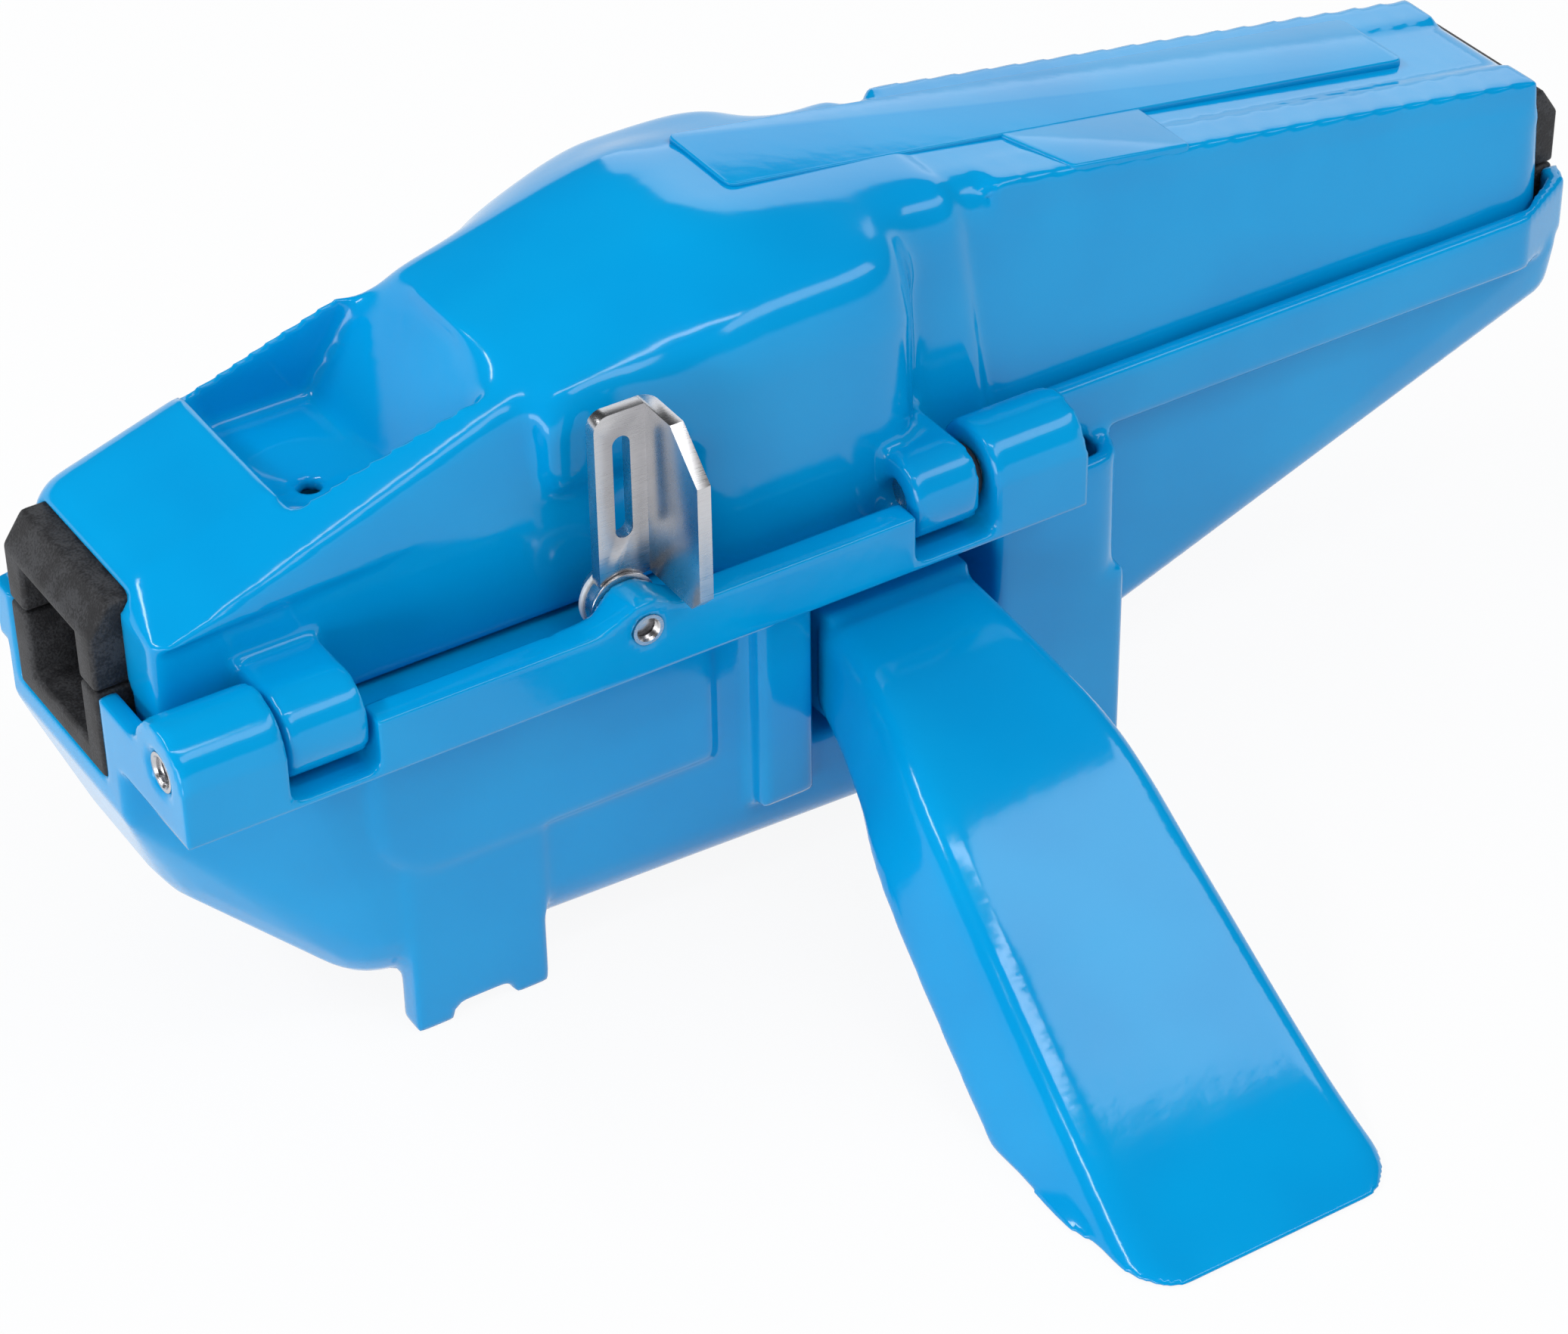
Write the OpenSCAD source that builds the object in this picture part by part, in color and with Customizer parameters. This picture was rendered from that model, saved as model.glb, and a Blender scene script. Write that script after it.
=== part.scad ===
// Bicycle chain cleaner: a cast base with a reservoir, a hinged cast lid, a pistol grip,
// a swinging latch lever, split chain guides, six brush wheels and two wiping sponges.
// The chain runs along X through the origin, the grip side is -Y, and up is +Z.

/* [Casting] */
// Length over the two chain guides
body_len = 238; // [220:1:260]
// Wall thickness of the castings
wall = 2.6; // [2.2:0.1:3.2]
// Half width of the reservoir hull
hull_half_w = 29.5; // [28.5:0.5:32]
// Depth of the reservoir hull below the chain line
hull_depth = 53; // [50:1:58]
// Height of the feet and of the grip end below the chain line
stand_h = 59; // [58:1:64]
// Height of the parting line above the chain line
parting_z = 1; // [0.5:0.25:2]
// Height of the rim around the lid
rim_h = 9; // [8:0.5:10]
// Half width of the narrow rear section at the rim
tail_half_w = 23.5; // [23:0.5:26]

/* [Lid] */
// Height of the lid's crown above the chain line
lid_peak_z = 39; // [38:0.5:44]
// Half width of the lid's flat top
lid_top_half_w = 18; // [17:0.5:19]
// Depth of the solvent pocket's floor above the chain line
pocket_floor_z = 13.4; // [12.5:0.1:15]
// Diameter of the drip hole in the solvent pocket
drip_hole_d = 3.4; // [2.5:0.1:4.5]

/* [Hinge] */
// Distance of the hinge axis from the chain line
hinge_y = 30.4; // [30:0.1:31]
// Outer radius of the hinge knuckles
knuckle_r = 7; // [6.5:0.1:7.2]
// Diameter of the hinge pins
hinge_pin_d = 4.8; // [4:0.1:5.5]

/* [Latch lever] */
// Thickness of the latch lever's sheet
lever_t = 2; // [1.5:0.1:2.5]
// Height of the latch lever above its pivot
lever_h = 29.5; // [26:0.5:31]
// Depth of the latch lever's thumb flange
lever_flange = 12.5; // [10:0.5:15]
// Diameter of the latch lever's pivot screw
latch_screw_d = 4; // [3.5:0.1:4.2]

/* [Chain guides] */
// Width of the opening for the chain
guide_open_w = 16; // [14:0.5:18]
// Height of the opening for the chain
guide_open_h = 17; // [15:0.5:18]
// Wall of the chain guides at each side of the opening
guide_side_t = 4.8; // [4:0.1:5.5]

/* [Brushes and sponges] */
// Radius of the two lower brush wheels
lower_brush_r = 14; // [12:0.5:15]
// Radius of the two upper brush wheels
upper_brush_r = 10.5; // [9:0.5:11]
// Radius of the two side brush wheels
side_brush_r = 8.4; // [8:0.2:9.2]
// Diameter of the brush axles
axle_d = 3; // [2.5:0.1:3.5]
// Width of the brush wheels that turn above and below the chain
brush_w = 9; // [7:0.5:10]
// Distance from the sponges to the rear face
sponge_end_gap = 32; // [26:1:42]

/* [Hidden] */

// Roundness of curved faces, and of the shapes inside a hull
$fn = 48;
hull_fn = 24;
// Overrun of every cut, and the gaps that moving and seated pieces need
cut = 1;
run_gap = 0.05;
part_gap = 0.4;
seat_gap = 0.15;

// Ends of the body along the chain
front_x = -body_len / 2;
rear_x = body_len / 2;

// Rim and ledge around the lid
rim_t = 4.5;
thin_rim_t = 3;
rim_top = parting_z;
rim_bottom = rim_top - rim_h;
ledge_t = 2.1;
ledge_top = rim_bottom + ledge_t;
rim_out_y = hinge_y + knuckle_r;
far_rim_y = hull_half_w + thin_rim_t;
side_len = 149;
tail_step_x = front_x + side_len;

// Places along the hinge side, measured from the front face
base_knuckle_l = 14.7;
lid_knuckle_r = 6.3;
lid_knuckle_l = 11.4;
front_notch_l = 12.5;
rear_notch_run = 108.1;
rear_notch_x = front_x + rear_notch_run;
notch_end_gap = 0.7;
notch_y = -hinge_y + lid_knuckle_r + part_gap;
notch_z = -lid_knuckle_r - part_gap;
rear_lid_knuckle_l = 10.2;
ring_gap = 2;
rear_base_knuckle_l = 15;
front_lid_knuckle_x = front_x + base_knuckle_l + part_gap;
rear_lid_knuckle_x = rear_notch_x + notch_end_gap;
ring_x = rear_lid_knuckle_x + rear_lid_knuckle_l + ring_gap / 2;
rear_base_knuckle_x = ring_x + ring_gap / 2;
rear_base_knuckle_end = rear_base_knuckle_x + rear_base_knuckle_l;
bore_chamfer_d = 6.6;
bore_chamfer_l = 1.2;
pin_inset = 1.6;

// Reservoir hull
bow_lip_half_w = 17.7;
bow_lip_depth = 16;
bow_r = 14;
bow_run = 19;
bow_x = front_x + bow_run;
bow_y = 8.5;
bow_z = -27;
keel_r = 12;
keel_run = 33;
keel_x = front_x + keel_run;
shoulder_r = 10;
shoulder_run = 22;
shoulder_x = front_x + shoulder_run;
hull_end_r = 5;
skin = 1;
tail_r = 5;
tail_front_run = 6;
tail_front_x = tail_step_x + tail_front_run;
tail_front_z = -45;
tail_end_gap = 7;
tail_end_z = -19;
tail_hull_half_w = 20;
mouth_near_y = 19.5;
mouth_far_y = 24;
mouth_bay_y = 25.2;
mouth_end = 7;
tail_mouth_half_w = 15.5;

// Feet, side pad and rib
foot_near_run = 33;
foot_near_x = front_x + foot_near_run;
foot_len = 20.5;
foot_t = 4;
foot_top_z = -28;
foot_notch_l = 9;
foot_notch_h = 2;
rear_foot_x = tail_step_x - foot_len;
pad_run = 29.5;
pad_x = front_x + pad_run;
pad_len = 50.5;
pad_depth = 24.5;
pad_proud = 1;
pad_r = 9;
rib_run = 86;
rib_x = front_x + rib_run;
rib_len = 8.5;
rib_depth = 33;
rib_proud = 3.4;

// Bay for the side brushes, and the places of the brushes along the chain
chain_half_h = 4.5;
bay_run = 79;
bay_x = front_x + bay_run;
bay_len = 38.5;
side_brush_run = 98;
side_brush_x = front_x + side_brush_run;
front_brush_run = 71;
front_brush_x = front_x + front_brush_run;
rear_brush_run = 131;
rear_brush_x = front_x + rear_brush_run;
side_brush_y = chain_half_h + side_brush_r + part_gap;
side_brush_h = 13;
lower_brush_z = -chain_half_h - lower_brush_r;
upper_brush_z = chain_half_h + upper_brush_r;
cradle_gap = 0.6;
cradle_t = 2;
cradle_half_l = 5;
cradle_y = brush_w / 2 + cradle_gap;
shelf_t = 3;
shelf_top_z = -side_brush_h / 2 - 2.2;
shelf_inner_y = 9;
shelf_half_l = 9;
side_axle_top = side_brush_h / 2 + 1.2;

// Grip socket in the hull, and the grip's tenon and screws
socket_run = 94.5;
socket_x = front_x + socket_run;
socket_l = 32.5;
socket_top_z = -10.6;
socket_bottom_z = -36;
socket_depth = 15;
socket_back_y = -hull_half_w + socket_depth;
socket_wall = 2.5;
tenon_run = 97.5;
tenon_x = front_x + tenon_run;
tenon_l = 23.5;
tenon_top_z = -14.6;
tenon_bottom_z = -33;
grip_screw_d = 5;
grip_screw_l = 16;
grip_screw_pitch = 12;
grip_screw_z = -24;
grip_head_d = 8.5;
grip_head_h = 3;
grip_hex_d = 4.2;
grip_hex_depth = 1.8;

// Lid shell
lid_half_w = 23.7;
lid_end_half_w = 21.5;
lid_end_z = 34.4;
corner_z = 12;
lid_bottom = ledge_top + part_gap + skin / 2;
lid_front_run = 4.4;
lid_front_x = front_x + lid_front_run;
lid_rear_x = rear_x - 4;
lid_corner_r = 3;
crown_r = 7;
lid_front_z = 17;
front_mid_z = 29.6;
front_mid_run = 52;
front_mid_x = front_x + front_mid_run;
peak_run = 91;
peak_x = front_x + peak_run;
rear_top_half_w = 16.5;
rear_shoulder_r = 6;
rear_shoulder_run = 126;
rear_shoulder_x = front_x + rear_shoulder_run;
rear_shoulder_z = 34;
rear_top_z = 17.4;
lid_tail_half_w = 20;
lid_tail_r = 10;
bulge_y = 28;
bulge_r = 9;
bulge_z = 35;
bulge_front_run = 79;
bulge_front_x = front_x + bulge_front_run;
bulge_end_run = 118;
bulge_end_x = front_x + bulge_end_run;
strip_end_run = 132.5;
strip_end_x = front_x + strip_end_run;
recess_y = 22.3;
recess_top_z = 11.5;
recess_rise = 3.5;
bump_run = 60.5;
bump_x = front_x + bump_run;
bump_len = 19.5;
bump_bottom_z = 13;
bump_top_z = 30;
bump_y = 23.9;
bump_r = 5;
swing_gap = 1;

// Solvent pocket in the lid's top
pocket_front_run = 25;
pocket_front_x = front_x + pocket_front_run;
pocket_rim_rear_run = 58;
pocket_rim_rear_x = front_x + pocket_rim_rear_run;
pocket_floor_front_run = 31;
pocket_floor_front_x = front_x + pocket_floor_front_run;
pocket_floor_rear_run = 46.5;
pocket_floor_rear_x = front_x + pocket_floor_rear_run;
pocket_half_w = 16.4;
pocket_wall = 2.4;
dish_d = 15;
dish_depth = 2;
drip_run = 38;
drip_x = front_x + drip_run;

// Latch lever, its boss and its fasteners
latch_run = 66.5;
latch_x = front_x + latch_run;
latch_z = -0.6;
boss_r = 4.5;
boss_end_y = -31.2;
lever_left = 3;
lever_right = 6.5;
lever_foot_r = 4.6;
lever_corner_r = 2.2;
lever_flange_z = 3.6;
slot_w = 2.6;
slot_l = 13;
slot_z = 10.2;
slot_x = 0.9;
washer_t = 0.6;
washer_r = 4.9;
nylon_t = 0.8;
latch_head_d = 7.2;
latch_head_h = 1.9;
lever_y = boss_end_y + washer_t;
nylon_y = lever_y + lever_t;
latch_head_y = nylon_y + nylon_t;
latch_screw_inset = 1.2;

// Chain guides
guide_half_w = guide_open_w / 2 + guide_side_t;
guide_open_z = -0.5;
guide_floor_t = 3.5;
guide_bottom_z = guide_open_z - guide_open_h / 2 - guide_floor_t;
guide_top_z = 13.9;
guide_face_z = 9.6;
guide_slope_l = 3;
guide_l = 10;
split_z = rim_top - seat_gap;

// Sponges and magnet
sponge_run = 152;
sponge_x = front_x + sponge_run;
sponge_len = rear_x - sponge_end_gap - sponge_x;
sponge_half_w = 11;
sponge_t = 8.5;
sponge_plate_t = 2;
sponge_lip_h = 4;
magnet_d = 20;
magnet_t = 5;
magnet_ring_t = 2;
magnet_ring_h = 3;
magnet_run = 98;
magnet_x = front_x + magnet_run;
magnet_z = -hull_depth + wall;

module slab(x1, x2, y1, y2, z1, z2) {
  translate([x1, y1, z1]) cube([x2 - x1, y2 - y1, z2 - z1]);
}

module rod_x(x1, x2, y, z, r) {
  translate([x1, y, z]) rotate([0, 90, 0]) cylinder(h = x2 - x1, r = r);
}

module rod_y(y1, y2, x, z, r) {
  translate([x, y2, z]) rotate([90, 0, 0]) cylinder(h = y2 - y1, r = r);
}

module rod_z(z1, z2, x, y, r) {
  translate([x, y, z1]) cylinder(h = z2 - z1, r = r);
}

// A flat outline in X and Z, given its thickness along Y
module along_y(y1, y2) {
  translate([0, y2, 0]) rotate([90, 0, 0]) linear_extrude(y2 - y1) children();
}

module both_sides() {
  children();
  mirror([0, 1, 0]) children();
}

module both_ends() {
  children();
  mirror([1, 0, 0]) children();
}

module rounded_plate(w, h, r) {
  union() {
    translate([r, 0]) square([w - 2 * r, h]);
    translate([0, r]) square([w, h - 2 * r]);
    for (x = [r, w - r], y = [r, h - r]) translate([x, y]) circle(r);
  }
}

module ball(x, y, z, r) {
  translate([x, y, z]) sphere(r, $fn = hull_fn);
}

module post(x, y, z, h, r) {
  translate([x, y, z]) cylinder(h = h, r = r, $fn = hull_fn);
}

// The reservoir's bow and middle, smaller all over by the inset
module hull_form(inset) {
  hull() {
    slab(front_x + inset, front_x + inset + skin, -bow_lip_half_w + inset, bow_lip_half_w - inset,
      -bow_lip_depth + inset, rim_bottom);
    both_sides() {
      ball(bow_x, bow_y, bow_z, bow_r - inset);
      ball(keel_x, hull_half_w - keel_r, keel_r - hull_depth, keel_r - inset);
      post(shoulder_x, hull_half_w - shoulder_r, rim_bottom - skin, skin, shoulder_r - inset);
      post(tail_step_x - hull_end_r, hull_half_w - hull_end_r, rim_bottom - skin, skin, hull_end_r - inset);
      ball(tail_step_x - hull_end_r, hull_half_w - hull_end_r, hull_end_r - hull_depth, hull_end_r - inset);
    }
  }
}

// The tapering rear of the reservoir, smaller all over by the inset
module tail_form(inset) {
  hull() both_sides() {
    ball(tail_step_x - hull_end_r, tail_hull_half_w - tail_r, tail_front_z + tail_r, tail_r - inset);
    ball(tail_front_x, tail_hull_half_w - tail_r, tail_front_z + tail_r, tail_r - inset);
    ball(rear_x - tail_end_gap, tail_hull_half_w - tail_r - skin, tail_end_z + tail_r, tail_r - inset);
    post(tail_step_x - hull_end_r, tail_hull_half_w - tail_r, rim_bottom - skin, skin, tail_r - inset);
    post(rear_x - tail_end_gap, tail_hull_half_w - tail_r, rim_bottom - skin, skin, tail_r - inset);
  }
}

// Outline of the rim seen from above
module rim_outline() {
  corner_x = 13.5;
  corner_y = 6.2;
  end_half_w = guide_half_w + thin_rim_t;
  polygon([
    [front_x, -rim_out_y],
    [rear_base_knuckle_end, -rim_out_y],
    [rear_base_knuckle_end, -tail_half_w],
    [rear_x - corner_x, -tail_half_w],
    [rear_x - thin_rim_t / 2, corner_y - tail_half_w],
    [rear_x, -end_half_w + thin_rim_t / 2],
    [rear_x, end_half_w - thin_rim_t / 2],
    [rear_x - thin_rim_t / 2, tail_half_w - corner_y],
    [rear_x - corner_x, tail_half_w],
    [tail_step_x, tail_half_w],
    [tail_step_x, far_rim_y],
    [front_x + thin_rim_t, far_rim_y],
    [front_x, far_rim_y - thin_rim_t]]);
}

// Room inside the rim for the lid's wall
module rim_room() {
  corner_x = 11.5;
  corner_y = 5.2;
  polygon([
    [front_x + thin_rim_t, -rim_out_y + rim_t],
    [rear_base_knuckle_end - thin_rim_t, -rim_out_y + rim_t],
    [rear_base_knuckle_end - thin_rim_t, -tail_half_w + thin_rim_t],
    [rear_x - corner_x, -tail_half_w + thin_rim_t],
    [rear_x - thin_rim_t, -tail_half_w + thin_rim_t + corner_y],
    [rear_x - thin_rim_t, tail_half_w - thin_rim_t - corner_y],
    [rear_x - corner_x, tail_half_w - thin_rim_t],
    [tail_step_x - thin_rim_t, tail_half_w - thin_rim_t],
    [tail_step_x - thin_rim_t, far_rim_y - thin_rim_t],
    [front_x + thin_rim_t, far_rim_y - thin_rim_t]]);
}

// Opening from the rim down into the reservoir
module mouth() {
  translate([front_x + mouth_end, -mouth_near_y])
    square([side_len - mouth_end - wall, mouth_near_y + mouth_far_y]);
  translate([bay_x, -mouth_bay_y]) square([bay_len, 2 * mouth_bay_y]);
  translate([tail_step_x - mouth_end, -tail_mouth_half_w])
    square([rear_x - tail_step_x, 2 * tail_mouth_half_w]);
}

module rim() {
  translate([0, 0, rim_bottom]) linear_extrude(rim_h) difference() {
    rim_outline();
    rim_room();
  }
  translate([0, 0, rim_bottom]) linear_extrude(ledge_t) difference() {
    rim_outline();
    mouth();
  }
}

module base_knuckle(x1, x2) {
  rod_x(x1, x2, -hinge_y, 0, knuckle_r);
  slab(x1, x2, -rim_out_y, -hinge_y + knuckle_r, rim_bottom, 0);
}

module foot(x) {
  along_y(-hull_half_w, -hull_half_w + foot_t) difference() {
    translate([x, -stand_h]) square([foot_len, stand_h + foot_top_z]);
    translate([x + (foot_len - foot_notch_l) / 2, -stand_h - cut]) square([foot_notch_l, foot_notch_h + cut]);
  }
}

// Raised side pad and rib below the rim
module side_pad() {
  along_y(-hull_half_w - pad_proud, -hull_half_w + pad_proud)
    translate([pad_x, rim_bottom + skin - pad_depth]) rounded_plate(pad_len, pad_depth, pad_r);
  along_y(-hull_half_w - pad_proud, -hull_half_w + pad_proud)
    translate([pad_x + pad_len / 2, rim_bottom + skin - pad_depth]) square([pad_len / 2, pad_depth]);
  slab(rib_x, rib_x + rib_len, -hull_half_w - rib_proud, -hull_half_w + pad_proud, -rib_depth - rim_h,
    rim_bottom + skin);
}

module brush_cradle(x, z, floor_z) {
  both_sides()
    slab(x - cradle_half_l, x + cradle_half_l, cradle_y, cradle_y + cradle_t, floor_z, z + cradle_half_l);
}

module socket_walls() {
  slab(socket_x - socket_wall, socket_x + socket_l + socket_wall, -hull_half_w + skin,
    socket_back_y + socket_wall, socket_bottom_z - socket_wall, shelf_top_z);
}

module grip_screw_places() {
  for (i = [-1, 1]) translate([tenon_x + tenon_l / 2 + i * grip_screw_pitch / 2, 0, grip_screw_z]) children();
}

module latch_boss() {
  rod_y(-rim_out_y, boss_end_y, latch_x, latch_z, boss_r);
  slab(latch_x - boss_r, latch_x + boss_r, -rim_out_y, boss_end_y, rim_bottom, latch_z);
}

module sponge_tray(z) {
  slab(sponge_x - sponge_plate_t, sponge_x + sponge_len + sponge_plate_t, -tail_hull_half_w + skin,
    tail_hull_half_w - skin, z - sponge_plate_t, z);
  for (x = [sponge_x - sponge_plate_t, sponge_x + sponge_len])
    slab(x, x + sponge_plate_t, -sponge_half_w, sponge_half_w, z - sponge_plate_t, z + sponge_lip_h);
}

module base_inside() {
  brush_cradle(front_brush_x, lower_brush_z, -hull_depth + wall / 2);
  brush_cradle(rear_brush_x, lower_brush_z, -hull_depth + wall / 2);
  both_sides() slab(side_brush_x - shelf_half_l, side_brush_x + shelf_half_l, shelf_inner_y,
    hull_half_w - wall / 2, shelf_top_z - shelf_t, shelf_top_z);
  sponge_tray(-chain_half_h - sponge_t);
  rod_z(magnet_z - wall / 2, magnet_z + magnet_ring_h, magnet_x, 0, magnet_d / 2 + magnet_ring_t);
}

module guide_window(z1, z2) {
  slab(front_x - cut, front_x + guide_l + cut, -guide_half_w, guide_half_w, z1, z2);
}

module base_cuts() {
  // Notches for the lid's knuckles
  slab(front_x + base_knuckle_l, front_x + base_knuckle_l + front_notch_l, -rim_out_y - cut, notch_y, notch_z,
    rim_top + cut);
  slab(rear_notch_x, rear_base_knuckle_x, -rim_out_y - cut, notch_y, notch_z, rim_top + cut);
  // Hinge bores
  rod_x(front_x - cut, front_x + base_knuckle_l + cut, -hinge_y, 0, hinge_pin_d / 2);
  rod_x(rear_base_knuckle_x - cut, rear_base_knuckle_end - pin_inset, -hinge_y, 0, hinge_pin_d / 2);
  translate([front_x - run_gap, -hinge_y, 0]) rotate([0, 90, 0])
    cylinder(h = bore_chamfer_l, d1 = bore_chamfer_d, d2 = hinge_pin_d);
  // Latch screw, grip socket and grip screws
  rod_y(-rim_out_y - cut, boss_end_y + cut, latch_x, latch_z, latch_screw_d / 2);
  slab(socket_x, socket_x + socket_l, -rim_out_y - cut, socket_back_y, socket_bottom_z, socket_top_z);
  grip_screw_places()
    rod_y(socket_back_y - cut, socket_back_y + socket_wall + cut, 0, 0, grip_screw_d / 2 + run_gap);
  // Chain guides
  both_ends() guide_window(guide_bottom_z, rim_top + cut);
  // Brush axles and magnet
  for (x = [front_brush_x, rear_brush_x])
    rod_y(-cradle_y - cradle_t - cut, cradle_y + cradle_t + cut, x, lower_brush_z, axle_d / 2);
  both_sides() rod_z(shelf_top_z - shelf_t - cut, shelf_top_z + cut, side_brush_x, side_brush_y, axle_d / 2);
  rod_z(magnet_z, magnet_z + magnet_ring_h + cut, magnet_x, 0, magnet_d / 2);
}

module base() {
  color("dodgerblue") difference() {
    union() {
      difference() {
        union() {
          hull_form(0);
          tail_form(0);
          both_sides() {
            foot(foot_near_x);
            foot(rear_foot_x);
          }
          side_pad();
        }
        hull_form(wall);
        tail_form(wall);
      }
      rim();
      base_knuckle(front_x, front_x + base_knuckle_l);
      base_knuckle(rear_base_knuckle_x, rear_base_knuckle_end);
      latch_boss();
      socket_walls();
      intersection() {
        base_inside();
        union() {
          hull_form(wall / 2);
          tail_form(wall / 2);
          slab(front_x, rear_x, -tail_hull_half_w, tail_hull_half_w, rim_bottom - cut, rim_top + hull_depth);
        }
      }
    }
    base_cuts();
  }
}

// The lid's front half, smaller all over by the inset
module lid_front_form(inset) {
  foot_z = lid_bottom - (inset > 0 ? cut : 0);
  hull() {
    post(lid_front_x + lid_corner_r, lid_corner_r - lid_half_w, foot_z, corner_z - inset - foot_z,
      lid_corner_r - inset);
    post(lid_front_x + crown_r, lid_top_half_w - crown_r, foot_z, skin, crown_r - inset);
    both_sides()
      post(strip_end_x - lid_corner_r, lid_end_half_w - lid_corner_r, foot_z, skin, lid_corner_r - inset);
    for (p = [[lid_front_x + crown_r, lid_front_z], [front_mid_x, front_mid_z], [peak_x, lid_peak_z],
      [strip_end_x - crown_r, lid_end_z]])
      both_sides() ball(p[0], lid_top_half_w - crown_r, p[1] - crown_r, crown_r - inset);
  }
}

// The lid's rear half, over the sponges
module lid_rear_form(inset) {
  foot_z = lid_bottom - (inset > 0 ? cut : 0);
  hull() both_sides() {
    post(strip_end_x - lid_corner_r, lid_tail_half_w - lid_corner_r, foot_z, skin, lid_corner_r - inset);
    post(lid_rear_x - lid_tail_r, lid_tail_half_w - lid_tail_r, foot_z, skin, lid_tail_r - inset);
    ball(rear_shoulder_x, rear_top_half_w - rear_shoulder_r, rear_shoulder_z - rear_shoulder_r,
      rear_shoulder_r - inset);
    ball(lid_rear_x - rear_shoulder_r, rear_top_half_w - rear_shoulder_r, rear_top_z - rear_shoulder_r,
      rear_shoulder_r - inset);
  }
}

// The wide bay over the side brushes
module lid_bulge_form(inset) {
  foot_z = lid_bottom - (inset > 0 ? cut : 0);
  hull() both_sides() for (x = [bulge_front_x + bulge_r, bulge_end_x - bulge_r]) {
    ball(x, bulge_y - bulge_r, bulge_z - bulge_r, bulge_r - inset);
    post(x, bulge_y - bulge_r, foot_z, skin, bulge_r - inset);
  }
}

// Side view of the solvent pocket, grown by its wall for the solid round it
module pocket_outline(grow) {
  over = lid_peak_z + cut;
  slope = pocket_floor_front_x - pocket_front_x;
  polygon([
    [pocket_front_x - slope - grow, over],
    [pocket_floor_front_x - grow, pocket_floor_z - grow],
    [pocket_floor_rear_x + grow, pocket_floor_z - grow],
    [pocket_rim_rear_x + grow, front_mid_z],
    [pocket_rim_rear_x + grow, over]]);
}

module lid_knuckle(x, l) {
  rod_x(x, x + l, -hinge_y, 0, lid_knuckle_r);
  slab(x, x + l, -hinge_y, -lid_end_half_w + skin, lid_bottom, lid_knuckle_r - part_gap);
}

module lid_room() {
  difference() {
    union() {
      lid_front_form(wall);
      lid_rear_form(wall);
      lid_bulge_form(wall);
    }
    // Solid round the pocket and its drip dish
    along_y(-lid_half_w, lid_half_w) pocket_outline(pocket_wall);
    rod_z(pocket_floor_z - dish_depth - pocket_wall, pocket_floor_z, drip_x, 0, dish_d / 2);
    // Hangers of the upper brushes and tray of the upper sponge
    for (x = [front_brush_x, rear_brush_x]) both_sides()
      slab(x - cradle_half_l, x + cradle_half_l, cradle_y, cradle_y + cradle_t, upper_brush_z - cradle_half_l,
        lid_peak_z);
    z = chain_half_h + sponge_t;
    slab(sponge_x - sponge_plate_t, sponge_x + sponge_len + sponge_plate_t, -lid_half_w, lid_half_w, z,
      z + sponge_plate_t);
    for (x = [sponge_x - sponge_plate_t, sponge_x + sponge_len])
      slab(x, x + sponge_plate_t, -sponge_half_w, sponge_half_w, z - sponge_lip_h, z + sponge_plate_t);
  }
}

module lid_cuts() {
  along_y(-pocket_half_w, pocket_half_w) pocket_outline(0);
  translate([drip_x, 0, pocket_floor_z - dish_depth])
    cylinder(h = dish_depth + run_gap, d1 = drip_hole_d, d2 = dish_d);
  rod_z(lid_bottom, pocket_floor_z + cut, drip_x, 0, drip_hole_d / 2);
  // Bores of the hinge knuckles and of the upper axles
  for (x = [front_lid_knuckle_x, rear_lid_knuckle_x])
    rod_x(x - cut, x + base_knuckle_l, -hinge_y, 0, hinge_pin_d / 2 + run_gap);
  for (x = [front_brush_x, rear_brush_x])
    rod_y(-cradle_y - cradle_t - cut, cradle_y + cradle_t + cut, x, upper_brush_z, axle_d / 2);
  both_ends() {
    guide_window(lid_bottom - cut, guide_top_z);
    // Room for the window's edges to swing past the lower guides
    slab(front_x - cut, front_x + guide_l + cut, -guide_half_w - swing_gap, guide_half_w + swing_gap,
      lid_bottom - cut, rim_top);
  }
}

module lid() {
  color("dodgerblue") difference() {
    union() {
      difference() {
        union() {
          lid_front_form(0);
          lid_rear_form(0);
          lid_bulge_form(0);
          along_y(-bump_y, 0) translate([bump_x, bump_bottom_z])
            rounded_plate(bump_len, bump_top_z - bump_bottom_z, bump_r);
        }
        lid_room();
        // Relief beside the hinge and the latch lever
        along_y(-rim_out_y, -recess_y) polygon([
          [front_x, lid_bottom - cut],
          [bulge_front_x, lid_bottom - cut],
          [bulge_front_x, recess_top_z + recess_rise],
          [front_x, recess_top_z]]);
      }
      lid_knuckle(front_lid_knuckle_x, lid_knuckle_l);
      difference() {
        lid_knuckle(rear_lid_knuckle_x, rear_lid_knuckle_l);
        lid_bulge_form(wall);
      }
      // Skirt that closes the far side of the reservoir
      slab(lid_front_x + lid_corner_r, strip_end_x - lid_corner_r, mouth_far_y, bulge_y, lid_bottom,
        lid_bottom + wall);
      slab(lid_front_x + lid_corner_r, bulge_front_x, lid_top_half_w - lid_corner_r, bulge_y, lid_bottom,
        lid_bottom + wall);
    }
    lid_cuts();
  }
}

// Grip: outer face stations out from the hull, their drop below the rim, and their two edges
grip_out = [0, 18, 34, 53, 78, 95.5];
grip_drop = [7, 10.5, 16.5, 29.5, 44.6, 50.5];
grip_left = [-0.5, -2, -6.5, -6.5, -10, -13.5];
grip_right = [23.5, 25, 27.5, 28.5, 29, 28.5];
grip_flare = [0, 3, 5, 5, 5.5, 6];
grip_depth = [17, 16, 15, 15, 15, 15];
grip_r = 4.5;
grip_seat = 0.3;

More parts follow.
